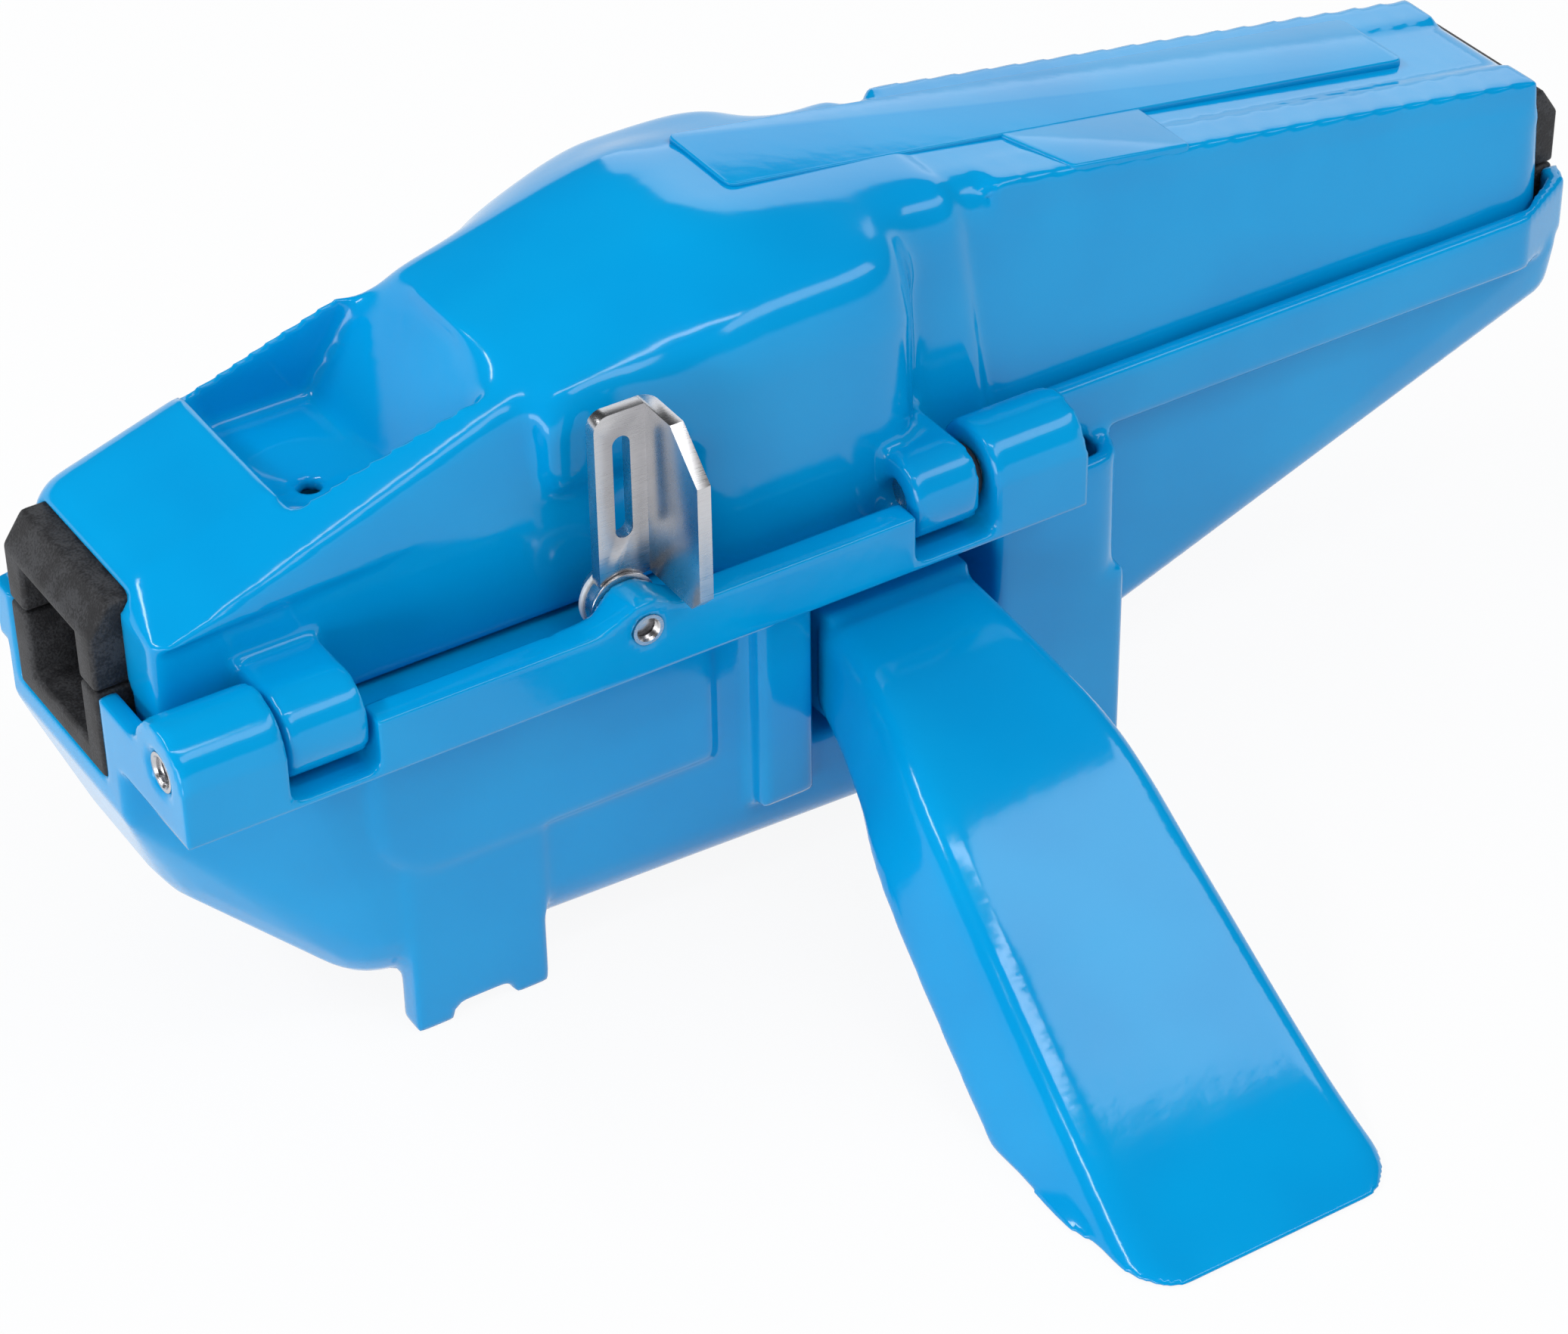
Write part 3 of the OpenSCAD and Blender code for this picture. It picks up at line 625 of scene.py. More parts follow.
def solid(name: str, verts: list[Point], faces: list[list[int]],
          push: Point | None = None) -> bpy.types.Object:
    """Makes a closed solid from points in millimetres.

    Args:
        name: Its name.
        verts: Its points.
        faces: Its faces, or the one face that is pushed out into a solid.
        push: How far that face is pushed.

    Returns:
        The solid, at the origin.
    """
    made = loose(name, verts, [], faces)
    bpy.ops.object.mode_set(mode="EDIT")
    bpy.ops.mesh.select_all(action="SELECT")
    if push is not None:
        shift = tuple(value * MM for value in push)
        bpy.ops.mesh.extrude_region_move(TRANSFORM_OT_translate={"value": shift})
        bpy.ops.mesh.select_all(action="SELECT")
    bpy.ops.mesh.normals_make_consistent(inside=False)
    bpy.ops.object.mode_set(mode="OBJECT")
    return made


def turned(name: str, profile: list[tuple[float, float]], steps: int) -> bpy.types.Object:
    """Turns a closed outline about the Z axis.

    Args:
        name: The new piece's name.
        profile: The outline's radii and heights in millimetres.
        steps: Steps in the whole turn.

    Returns:
        The turned piece.
    """
    count = len(profile)
    made = loose(name, [(r, 0, z) for r, z in profile], [(i, (i + 1) % count) for i in range(count)], [])
    bpy.ops.object.mode_set(mode="EDIT")
    bpy.ops.mesh.select_all(action="SELECT")
    bpy.ops.mesh.spin(steps=steps, angle=math.tau, center=(0, 0, 0), axis=(0, 0, 1))
    bpy.ops.mesh.select_all(action="SELECT")
    bpy.ops.mesh.remove_doubles(threshold=WELD * MM)
    bpy.ops.mesh.normals_make_consistent(inside=False)
    bpy.ops.object.mode_set(mode="OBJECT")
    return made


def slab_from(name: str, outline: list[tuple[float, float]], lift: Callable[[float, float], float],
              thickness: float) -> bpy.types.Object:
    """A thin plate with an outline seen from above, laid on a slope.

    Args:
        name: Its name.
        outline: Its corners in X and Y, in millimetres.
        lift: Height of its lower face at a point.
        thickness: Its thickness in millimetres.

    Returns:
        The plate, at the origin.
    """
    corners = [(x, y, lift(x, y)) for x, y in outline]
    return solid(name, corners, [list(range(len(corners)))], (0, 0, thickness))


def ringed(name: str, rings: list[list[Point]]) -> bpy.types.Object:
    """A closed solid skinned over rings of points, in millimetres.

    Args:
        name: Its name.
        rings: Its rings in order, with the same number of points each.

    Returns:
        The solid, at the origin.
    """
    count = len(rings[0])
    verts = [point for ring in rings for point in ring]
    last = count * (len(rings) - 1)
    faces = []
    for start in range(0, last, count):
        for i in range(count):
            j = (i + 1) % count
            faces.append([start + i, start + j, start + count + j, start + count + i])
    return solid(name, verts, [*faces, list(range(count)), list(range(last, last + count))])


def rounded(corners: list[tuple[float, float]], radii: float | list[float],
            steps: int = 6) -> list[tuple[float, float]]:
    """Rounds the corners of an outline.

    Args:
        corners: The outline's corners in order.
        radii: How far from a corner its rounding starts, for all or for each.
        steps: Points in each rounding.

    Returns:
        The rounded outline.
    """
    points: list[tuple[float, float]] = []
    count = len(corners)
    each = radii if isinstance(radii, list) else [radii] * count
    for i, (corner, radius) in enumerate(zip(corners, each)):
        here = Vector(corner)
        before, after = Vector(corners[i - 1]), Vector(corners[(i + 1) % count])
        start = here + (before - here).normalized() * radius
        end = here + (after - here).normalized() * radius
        for step in range(steps + 1):
            t = step / steps
            point = start * (1 - t) ** 2 + here * 2 * t * (1 - t) + end * t ** 2
            points.append((point.x, point.y))
    return points


def ease(value: float, low: float, high: float) -> float:
    """Rises smoothly from 0 at low to 1 at high."""
    t = min(1.0, max(0.0, (value - low) / (high - low)))
    return t * t * (3 - 2 * t)


def soften(piece: bpy.types.Object, width: float, segments: int = 3, angle: float = 30) -> None:
    """Rounds every sharp edge of a piece and shades it smooth.

    Args:
        piece: The piece.
        width: Width of the rounding in millimetres.
        segments: Faces across it.
        angle: Edges sharper than this many degrees are rounded.
    """
    modify(piece, "BEVEL", width=width * MM, segments=segments, limit_method="ANGLE",
           angle_limit=math.radians(angle), use_clamp_overlap=True, harden_normals=False)
    shade(piece)


def shade(piece: bpy.types.Object, angle: float = 40) -> None:
    """Shades a piece smooth, apart from edges sharper than an angle in degrees."""
    pick(piece)
    bpy.ops.object.shade_smooth_by_angle(angle=math.radians(angle))


def hand_over(piece: bpy.types.Object, body: str, slot: str, paints: Paintbox, *nodes: str) -> None:
    """Coats a finished piece and puts it in its nodes' place.

    Args:
        piece: The finished piece.
        body: The body that it rides on.
        slot: The slot that names its finish.
        paints: The finishes.
        nodes: The nodes that it stands for.
    """
    paints.coat(piece, slot)
    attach(piece, body)
    if nodes:
        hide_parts(*nodes)
    log.info("%s: %d faces, rides on %s", piece.name, len(piece.data.polygons), body)


# Sub-assemblies


@dataclass
class Castings:
    """The painted base and lid, their edges softened as cast metal under enamel."""

    paints: Paintbox
    base_grain: float = 0.85
    lid_grain: float = 0.8
    corner_y: float = 15.0
    corner_rear: float = -94.0
    corner_front: float = -109.0
    corner_draw: float = 0.8
    budget: int = 185000
    boss: Point = (-52.5, -37.4, -0.6)
    boss_r: float = 4.5
    ramp_len: float = 8.5
    ramp_depth: float = 5.0
    ramp_inner: float = 0.6
    ramp_sink: float = 0.2
    ramp_under: float = 4.0
    ramp_steps: int = 14
    rim_top: float = 1.0
    foot: tuple[Point, Point] = ((-86.0, -30.0, -59.0), (-65.5, -26.0, -30.0))
    foot_notch: float = 9.0
    web_inset: float = 0.5
    web_rise: float = 2.2
    passes: int = 3

    def ramp(self, way: int) -> bpy.types.Object:
        """A concave ramp that leads the rim up to one side of the latch boss.

        Args:
            way: -1 for the side towards the front, 1 for the other.

        Returns:
            The ramp.
        """
        x, y, z = self.boss
        inner = self.boss_r * self.ramp_inner
        low = self.rim_top - self.ramp_sink
        high = z + math.sqrt(self.boss_r ** 2 - inner ** 2)
        profile = []
        for i in range(self.ramp_steps + 1):
            t = i / self.ramp_steps
            profile.append((x + way * (inner + self.ramp_len * t), y, low + (high - low) * (1 - t) ** 2))
        for run in (inner + self.ramp_len, inner):
            profile.append((x + way * run, y, self.rim_top - self.ramp_under))
        return solid("ramp", profile, [list(range(len(profile)))], (0, self.ramp_depth, 0))

    def foot_pads(self) -> list[bpy.types.Object]:
        """The proud face of the front foot, in two legs and a web above the notch."""
        (x1, y1, z1), (x2, y2, z2) = self.foot
        leg = (x2 - x1 - self.foot_notch) / 2
        return [block("foot_leg", (x1, y1, z1), (x1 + leg, y2, z2)),
                block("foot_leg", (x2 - leg, y1, z1), (x2, y2, z2)),
                block("foot_web", (x1 + self.web_inset, y1, z1 + self.web_rise),
                      (x2 - self.web_inset, y2, z2))]

    def draw_in(self, base: bpy.types.Object) -> None:
        """Draws the far front corner of the base in, so that it hides behind the guide.

        Args:
            base: The fused base, in object mode.
        """
        for vert in base.data.vertices:
            x, y, z = vert.co / MM
            if y > self.corner_y:
                share = ease(-x, -self.corner_rear, -self.corner_front)
                vert.co.y = (self.corner_y + (y - self.corner_y) * (1 - share * self.corner_draw)) * MM

    def fuse(self, node: str, grain: float, *extras: bpy.types.Object) -> bpy.types.Object:
        """Fuses a node's solid and its extras into one skin.

        Args:
            node: The node that gives the shape.
            grain: Size of the skin's net in millimetres.
            extras: Solids that are fused on.

        Returns:
            The fused piece.
        """
        piece = node_copy(node, node + "_casting")
        if extras:
            join(piece, *extras)
        modify(piece, "REMESH", mode="VOXEL", voxel_size=grain * MM, adaptivity=0.0)
        if node == "base":
            self.draw_in(piece)
        return piece

    def finish(self, piece: bpy.types.Object) -> None:
        """Runs a casting's edges soft, and thins its net to the budget.

        Args:
            piece: The casting.
        """
        modify(piece, "SMOOTH", factor=0.5, iterations=self.passes)
        triangles = 2 * len(piece.data.polygons)
        if triangles > self.budget:
            modify(piece, "DECIMATE", decimate_type="COLLAPSE", ratio=self.budget / triangles)
        pick(piece)
        bpy.ops.object.shade_smooth()

    def build(self) -> None:
        """Makes the base and the lid."""
        base = self.fuse("base", self.base_grain, self.ramp(-1), self.ramp(1), *self.foot_pads())
        self.finish(base)
        hand_over(base, "casing", "paint_blue", self.paints, "base")
        form = LidForm()
        lid = self.fuse("lid", self.lid_grain, *form.fills(Side.NEAR), *form.fills(Side.FAR))
        form.shape(lid)
        self.finish(lid)
        hand_over(lid, "cover", "paint_blue", self.paints, "lid")


@dataclass
class LidForm:
    """How the lid's skin flows: filled shoulders, and a bay that melts into the crown."""

    crown: tuple[tuple[float, float], ...] = ((-67.0, 29.6), (-28.0, 39.0), (6.5, 34.4), (115.0, 17.4))
    saddle: tuple[Point, ...] = ((-60.0, -13.0, 29.3), (-48.0, -19.0, 30.2), (-38.0, -23.0, 32.0),
                                 (-28.0, -24.3, 33.6), (-15.0, -24.6, 34.0), (-5.0, -24.4, 33.6),
                                 (-1.8, -22.0, 32.6))
    saddle_y: float = -6.0
    saddle_t: float = 4.0
    saddle_sink: float = 0.5
    cove: tuple[tuple[float, float], ...] = ((-52.0, -22.0), (-46.0, -24.2), (-32.0, -27.7), (-32.0, -21.0),
                                             (-52.0, -20.0))
    cove_low: float = 15.5
    cove_foot: float = 4.0
    cove_high: float = 28.5
    bar: tuple[float, float] = (15.8, 112.5)
    bar_y: tuple[float, float] = (-15.9, -15.2)
    bar_section: tuple[tuple[float, float], ...] = (
        (7, -0.25), (0, -0.15), (-0.75, -6.5), (1, -7.5), (7, -2.4))
    bay: tuple[float, float, float, float] = (-62.0, -50.0, 4.0, 8.0)
    bay_rise: tuple[float, float] = (8.0, 15.0)
    bay_passes: int = 55
    hip: tuple[float, float, float, float] = (-66.0, -56.0, -1.0, 8.0)
    hip_rise: tuple[float, float] = (23.0, 28.0)
    hip_clear: float = 5.0
    hip_passes: int = 150
    flank: tuple[float, float, float, float] = (-68.0, -56.0, -34.0, -24.0)
    flank_rise: tuple[float, float] = (4.0, 9.0)
    flank_clear: float = 11.0
    flank_passes: int = 260
    border: float = 6.0

    def top(self, x: float) -> float:
        """Height of the lid's top along its middle."""
        for (x1, z1), (x2, z2) in zip(self.crown, self.crown[1:]):
            if x <= x2:
                return z1 + (z2 - z1) * (x - x1) / (x2 - x1)
        return self.crown[-1][1]

    def fills(self, side: Side) -> list[bpy.types.Object]:
        """The solids that fill one side: the saddle, the cove and the rear's crisp shoulder.

        Args:
            side: The side of the lid.

        Returns:
            The solids.
        """
        way = -side.value
        saddle = []
        for x, y, z in self.saddle:
            top = self.top(x)
            saddle.append([(x, way * self.saddle_y, top - self.saddle_sink), (x, way * y, z),
                           (x, way * y, z - self.saddle_t), (x, way * self.saddle_y, top - self.saddle_t)])
        low = self.cove_low if side is Side.NEAR else self.cove_foot
        cove = [[(x, way * y, z) for x, y in self.cove] for z in (low, self.cove_high)]
        bar = []
        for x, y in zip(self.bar, self.bar_y):
            top = self.top(x)
            bar.append([(x, way * (y + out), top + rise) for out, rise in self.bar_section])
        return [ringed("saddle", saddle), ringed("cove", cove), ringed("shoulder_bar", bar)]

    def melt(self, lid: bpy.types.Object, name: str, reach: tuple[float, float, float, float],
             rise: tuple[float, float], clear: float, passes: int, side: Side | None = None) -> None:
        """Smooths one part of the lid, with soft borders.

        Args:
            lid: The fused lid, in object mode.
            name: Name of the part's vertex group.
            reach: Where along the lid the smoothing starts, is full, starts to end and has ended.
            rise: The heights at which it starts and is full.
            clear: Half width of the strip along the middle that is left as it is.
            passes: How many times it smooths.
            side: The only side that is smoothed, or None for both.
        """
        group = lid.vertex_groups.new(name=name)
        for vert in lid.data.vertices:
            x, y, z = vert.co / MM
            share = ease(x, *reach[:2]) * (1 - ease(x, *reach[2:]))
            out = abs(y) if side is None else side.value * y
            share *= ease(z, *rise) * ease(out, clear, clear + self.border)
            if share > 0:
                group.add([vert.index], share, "REPLACE")
        modify(lid, "SMOOTH", factor=0.5, iterations=passes, vertex_group=name)

    def shape(self, lid: bpy.types.Object) -> None:
        """Melts the bay into the crown.

        Args:
            lid: The fused lid, in object mode.
        """
        self.melt(lid, "bay", self.bay, self.bay_rise, -self.border, self.bay_passes)
        self.melt(lid, "hip", self.hip, self.hip_rise, self.hip_clear, self.hip_passes)
        self.melt(lid, "flank", self.flank, self.flank_rise, self.flank_clear, self.flank_passes, Side.FAR)


@dataclass
class LidPlate:
    """The bare raised plate on the lid's rear top, with its small tab."""

    paints: Paintbox
    lift: float = 0.45
    sink: float = 1.0
    front: float = -19.0
    rear: float = 97.0
    near: float = -4.7
    far: float = 11.5
    tab_front: float = 25.0
    tab_rear: float = 49.0
    tab_near: float = -15.6
    tab_sink: float = 3.0
    tab_low: float = 0.1
    tab_cut: float = 4.0
    tab_under: float = 2.0
    taper: float = 1.5
    corner_r: float = 1.8
    tab_corner_r: float = 0.9
    edge: float = 0.35
    tab_edge: float = 0.5
    top_x: float = 7.0
    top_z: float = 34.0
    slope: float = -0.1537

    def height(self, x: float, sink: float) -> float:
        """Height of a plate's lower face where it sinks that far into the lid's top."""
        return self.top_z + self.slope * (x - self.top_x) - sink

    def build(self) -> None:
        """Makes the plate and the tab as one piece."""
        outline = [(self.front, self.near), (self.rear, self.near + self.taper), (self.rear, self.far),
                   (self.front, self.far)]
        plate = slab_from("bare_plate", rounded(outline, self.corner_r),
                          lambda x, y: self.height(x, self.sink), self.sink + self.lift)
        under = self.near + self.tab_under
        outline = [(self.tab_front + self.tab_cut, self.tab_near), (self.tab_rear, self.tab_near),
                   (self.tab_rear, under), (self.tab_front, under), (self.tab_front, self.near)]
        tab = slab_from("bare_tab", rounded(outline, self.tab_corner_r),
                        lambda x, y: self.height(x, self.tab_sink), self.tab_sink + self.lift - self.tab_low)
        soften(plate, self.edge)
        soften(tab, self.tab_edge)
        join(plate, tab)
        hand_over(plate, "cover", "paint_blue", self.paints)


@dataclass
class Grip:
    """The swept pistol grip, a smooth run of rounded sections."""

    paints: Paintbox
    root_x: float = -21.5
    root_y: float = -29.8
    root_z: float = -8.0
    out: tuple[float, ...] = (0, 18, 34, 53, 78, 95.5)
    drop: tuple[float, ...] = (7, 10.5, 16.5, 29.5, 44.6, 50.5)
    left: tuple[float, ...] = (-0.5, -2, -5.5, -7.3, -10, -13.5)
    right: tuple[float, ...] = (23.5, 25, 27.2, 28.5, 29, 28.5)
    depth: tuple[float, ...] = (17, 16, 15, 15, 15, 15)
    flare: tuple[float, ...] = (0, 3, 4.6, 5.2, 5.5, 6)
    top_r: float = 3.8
    under_r: float = 3.6
    end_out: float = 98.2
    corner_r: float = 10.5
    brow_r: float = 3.5
    stand_z: float = -59.0
    steps: int = 60
    end_steps: int = 10
    corner_steps: int = 6
    probe: float = 0.01
    level_run: float = 6.0
    grain: float = 0.65
    passes: int = 4
    tenon: tuple[Point, Point] = ((-21.4, -31.5, -32.9), (1.9, -14.6, -14.7))

    def along(self, values: tuple[float, ...], t: float) -> float:
        """A value that flows smoothly through its stations.

        Args:
            values: The value at each station.
            t: The place, 0 at the root and 1 at the end.

        Returns:
            The value there.
        """
        last = len(values) - 1
        place = t * last
        i = min(int(place), last - 1)
        u = place - i
        a, b, c, d = values[max(i - 1, 0)], values[i], values[i + 1], values[min(i + 2, last)]
        bend, twist = 2 * a - 5 * b + 4 * c - d, 3 * b - a - 3 * c + d
        return 0.5 * (2 * b + (c - a) * u + bend * u * u + twist * u ** 3)

    @staticmethod
    def draw(radius: float, left: float) -> float:
        """How far a rounded end is drawn in where that much length is left."""
        return radius - math.sqrt(max(0.0, radius ** 2 - max(0.0, radius - left) ** 2))

    def ring(self, t: float, push: float) -> list[Vector]:
        """One section of the grip.

        Args:
            t: Its place along the grip.
            push: How far it is pushed on past its last station.

        Returns:
            The section's points.
        """
        before, after = max(0.0, t - self.probe), min(1.0, t + self.probe)
        run = self.along(self.out, after) - self.along(self.out, before)
        fall = self.along(self.drop, after) - self.along(self.drop, before)
        slope = math.atan2(fall, run) * min(1.0, t * self.level_run)
        ahead = Vector((0, -math.cos(slope), -math.sin(slope)))
        down = Vector((0, math.sin(slope), -math.cos(slope)))
        out = self.along(self.out, t)
        start = Vector((self.root_x, self.root_y - out, self.root_z - self.along(self.drop, t)))
        start += ahead * push
        rest = self.end_out - out - push
        side, shrink = self.draw(self.corner_r, rest), self.draw(self.brow_r, rest)
        left, right = self.along(self.left, t) + side, self.along(self.right, t) - side
        flare, deep = self.along(self.flare, t), self.along(self.depth, t) - shrink
        section = rounded([(left, shrink), (right, shrink), (right, deep), (left - flare, deep)],
                          [self.top_r, self.top_r, self.under_r, self.under_r], self.corner_steps)
        return [start + Vector((x, 0, 0)) + down * y for x, y in section]

    def build(self) -> None:
        """Makes the grip with its hidden tenon."""
        rings = [self.ring(i / self.steps, 0.0) for i in range(self.steps + 1)]
        over = self.end_out - self.out[-1]
        turns = [i / self.end_steps * math.pi / 2 for i in range(1, self.end_steps + 1)]
        rings += [self.ring(1.0, over * math.sin(turn)) for turn in turns]
        for point in (point for ring in rings for point in ring):
            point.z = max(point.z, self.stand_z)
        grip = ringed("grip_casting", rings)
        join(grip, block("tenon", *self.tenon))
        modify(grip, "REMESH", mode="VOXEL", voxel_size=self.grain * MM, adaptivity=0.0)
        modify(grip, "SMOOTH", factor=0.5, iterations=self.passes)
        pick(grip)
        bpy.ops.object.shade_smooth()
        hand_over(grip, "casing", "paint_blue", self.paints, "handle")


@dataclass(frozen=True)
class Insert:
    """One steel insert: its radii, the middle of its mouth and its way in."""

    name: str
    outer: float
    inner: float
    mouth: Point
    inward: Point


@dataclass
class ThreadInserts:
    """Steel inserts that show in the latch boss and in the front hinge knuckle."""

    paints: Paintbox
    pitch: float = 0.7
    turns: int = 4
    crest: float = 0.35
    mouth_gap: float = 0.25
    steps: int = 40
    places: tuple[Insert, ...] = (
        Insert("latch_insert", outer=2.25, inner=1.5, mouth=(-52.5, -37.5, -0.6), inward=(0, 1, 0)),
        Insert("knuckle_insert", outer=2.75, inner=2.0, mouth=(-118.6, -30.4, 0.0), inward=(1, 0, 0)))

    def build(self) -> None:
        """Makes both inserts, short sleeves with thread crests."""
        for place in self.places:
            profile = [(place.outer, 0.0), (place.inner + self.mouth_gap, 0.0)]
            for i in range(self.turns):
                profile += [(place.inner, (i + 0.5) * self.pitch),
                            (place.inner + self.crest, (i + 1) * self.pitch)]
            profile.append((place.outer, self.turns * self.pitch))
            made = turned(place.name, profile, self.steps)
            turn = Vector(place.inward).to_track_quat("Z", "Y").to_matrix().to_4x4()
            made.data.transform(Matrix.Translation(Vector(place.mouth) * MM) @ turn)
            shade(made, 30)
            hand_over(made, "casing", "steel", self.paints)


@dataclass
class Latch:
    """The swinging steel lever with its washers and screw."""

    paints: Paintbox
    bend: float = 2.0
    edge: float = 0.4
    bend_x: float = -46.0
    bend_y: float = -28.6
    foot_z: float = 3.0
    near: float = 0.05
    sharp: float = 35.0
    small: tuple[tuple[str, str, str, float], ...] = (
        ("latch_screw", "lever_screw", "steel", 0.25), ("latch_steel_washer", "thin_washer", "steel", 0.12),
        ("latch_nylon_washer", "nylon_washer", "white_nylon", 0.2))

    def lever(self) -> bpy.types.Object:
        """The bent lever, with its outer bend rolled and its edges eased."""
        piece = node_copy("latch_lever", "lever_sheet")
        found = select_where(piece, "edges", lambda p: abs(p.x - self.bend_x) < self.near
                             and abs(p.y - self.bend_y) < self.near and p.z > self.foot_z - self.near)
        log.info("lever bend edges: %d", found)
        bpy.ops.mesh.bevel(offset=self.bend * MM, segments=6, affect="EDGES", clamp_overlap=True)
        bpy.ops.object.mode_set(mode="OBJECT")
        soften(piece, self.edge, 3, self.sharp)
        return piece

    def build(self) -> None:
        """Makes the lever, the screw and the two washers."""
        hand_over(self.lever(), "lever", "steel", self.paints, "latch_lever")
        for node, name, slot, width in self.small:
            piece = node_copy(node, name)
            soften(piece, width, 2, self.sharp)
            hand_over(piece, "casing", slot, self.paints, node)


@dataclass
class ChainGuides:
    """The four black nylon halves that lead the chain in and out."""

    paints: Paintbox
    edge: float = 0.7

    def build(self) -> None:
        """Makes both halves at both ends."""
        for end in End:
            for level in Level:
                node = f"{end.value}_guide_{level.value}"
                piece = node_copy(node, f"{end.value}_{level.value}_nylon")
                soften(piece, self.edge)
                body = "casing" if level is Level.LOWER else "cover"
                hand_over(piece, body, "black_nylon", self.paints, node)


@dataclass
class BrushWheels:
    """Six brush wheels: a turned hub and tufts of nylon strands."""

    paints: Paintbox
    tufts: int = 14
    strands: int = 30
    strand_r: float = 0.17
    strand_tip: float = 0.7
    rows: int = 3
    row_gap: float = 0.42
    row_spread: float = 1.6
    fill: float = 0.94
    fan: float = 0.5
    jitter: float = 0.1
    swing: float = 0.02
    reach: tuple[float, float] = (0.95, 0.995)
    seed: int = 7
    hub: float = 0.42
    hub_lip: float = 0.12
    hub_waist: float = 0.86
    hub_edge: float = 0.2
    hub_steps: int = 48
    root: float = 0.5
    bore: float = 1.55
    lower: tuple[float, float] = (14.0, -18.5)
    upper: tuple[float, float] = (10.5, 15.0)
    width: float = 9.0
    front_x: float = -48.0
    rear_x: float = 12.0
    side: tuple[float, float, float] = (8.4, 13.0, 2.0)
    side_x: float = -21.0
    side_y: float = 13.3

    def strand(self, inner: float, outer: float) -> tuple[list[Vector], list[list[int]]]:
        """One strand along X, three-sided and slightly tapered.

        Args:
            inner: Where it starts, from the wheel's axis.
            outer: Where it ends.

        Returns:
            Its points and its faces.
        """
        points = []
        tip = self.strand_r * self.strand_tip
        for x, r in ((inner, self.strand_r), ((inner + outer) / 2, self.strand_r), (outer, tip)):
            for i in range(3):
                turn = i * math.tau / 3
                points.append(Vector((x, r * math.cos(turn), r * math.sin(turn))))
        faces = [[0, 2, 1], [6, 7, 8]]
        for ring in (0, 3):
            for i in range(3):
                j = (i + 1) % 3
                faces.append([ring + i, ring + j, ring + 3 + j, ring + 3 + i])
        return points, faces

    def core(self, name: str, radius: float, low: float, high: float) -> bpy.types.Object:
        """A turned hub on the Z axis with a waist and a bore.

        Args:
            name: Its name.
            radius: Its outer radius in millimetres.
            low: Its lower end.
            high: Its upper end.

        Returns:
            The hub, about the Z axis.
        """
        lip = (high - low) * self.hub_lip
        waist = radius * self.hub_waist
        profile = [(self.bore, low), (radius, low), (radius, low + lip), (waist, low + 2 * lip),
                   (waist, high - 2 * lip), (radius, high - lip), (radius, high), (self.bore, high)]
        made = turned(name, profile, self.hub_steps)
        soften(made, self.hub_edge, 2)
        return made

    def wheel(self, name: str, radius: float, width: float, drop: float) -> bpy.types.Object:
        """A whole wheel about the Z axis.

        Args:
            name: Its name.
            radius: Its radius over the strands.
            width: Width of its ring of tufts.
            drop: How much further down its hub goes.

        Returns:
            The wheel, about the Z axis.
        """
        inner = radius * self.hub
        made = self.core(name, inner, -width / 2 - drop, width / 2)
        points, faces = self.strand(inner - self.root, radius)
        rng = random.Random(self.seed)
        verts: list[Vector] = []
        polys: list[list[int]] = []
        for tuft in range(self.tufts):
            middle = (tuft + 0.5) * math.tau / self.tufts
            for i in range(self.strands):
                across = (i % self.rows - (self.rows - 1) / 2) * self.row_gap / self.rows * 2
                along = (i // self.rows + 0.5) / (self.strands / self.rows) * width - width / 2
                shift = Vector((0, across * self.row_spread + rng.uniform(-self.jitter, self.jitter),
                                along * self.fill))
                spin = Matrix.Rotation(middle + rng.uniform(-self.swing, self.swing), 3, "Z")
                lean = rng.uniform(-self.swing, self.swing)
                reach = rng.uniform(*self.reach)
                start = len(verts)
                for point in points:
                    out = inner + (point.x - inner) * reach if point.x > inner else point.x
                    spread = 1 + self.fan * max(0.0, (out - inner) / (radius - inner))
                    place = Vector((out, point.y + shift.y * spread,
                                    point.z + shift.z + lean * (out - inner)))
                    flat = math.hypot(place.x, place.y)
                    if flat > radius:
                        place.x *= radius / flat
                        place.y *= radius / flat
                    verts.append(spin @ place * MM)
                polys += [[start + k for k in face] for face in faces]
        mesh = bpy.data.meshes.new(name + "_tufts")
        mesh.from_pydata(verts, [], polys)
        tufts = bpy.data.objects.new(name + "_tufts", mesh)
        bpy.context.scene.collection.objects.link(tufts)
        return join(made, tufts)

    def build(self) -> None:
        """Makes the six wheels, each at its axle."""
        sizes = {Level.LOWER: self.lower, Level.UPPER: self.upper}
        places = {End.FRONT: self.front_x, End.REAR: self.rear_x}
        upright = Matrix.Rotation(math.pi / 2, 4, "X")
        for level, (radius, z) in sizes.items():
            first = self.wheel(f"{level.value}_wheel", radius, self.width, 0.0)
            for end, x in places.items():
                piece = first if end is End.REAR else bpy.data.objects.new("copy", first.data.copy())
                if piece is not first:
                    bpy.context.scene.collection.objects.link(piece)
                piece.name = f"{end.value}_{level.value}_bristles"
                piece.data.transform(Matrix.Translation(Vector((x, 0, z)) * MM) @ upright)
                hand_over(piece, f"{end.value}_{level.value}_wheel", "bristle", self.paints,
                          f"{end.value}_{level.value}_brush")
        for side in Side:
            word = side.name.lower()
            piece = self.wheel(f"{word}_side_bristles", *self.side)
            piece.data.transform(Matrix.Translation(Vector((self.side_x, side.value * self.side_y, 0)) * MM))
            hand_over(piece, f"{word}_side_wheel", "bristle", self.paints, f"{word}_side_brush")


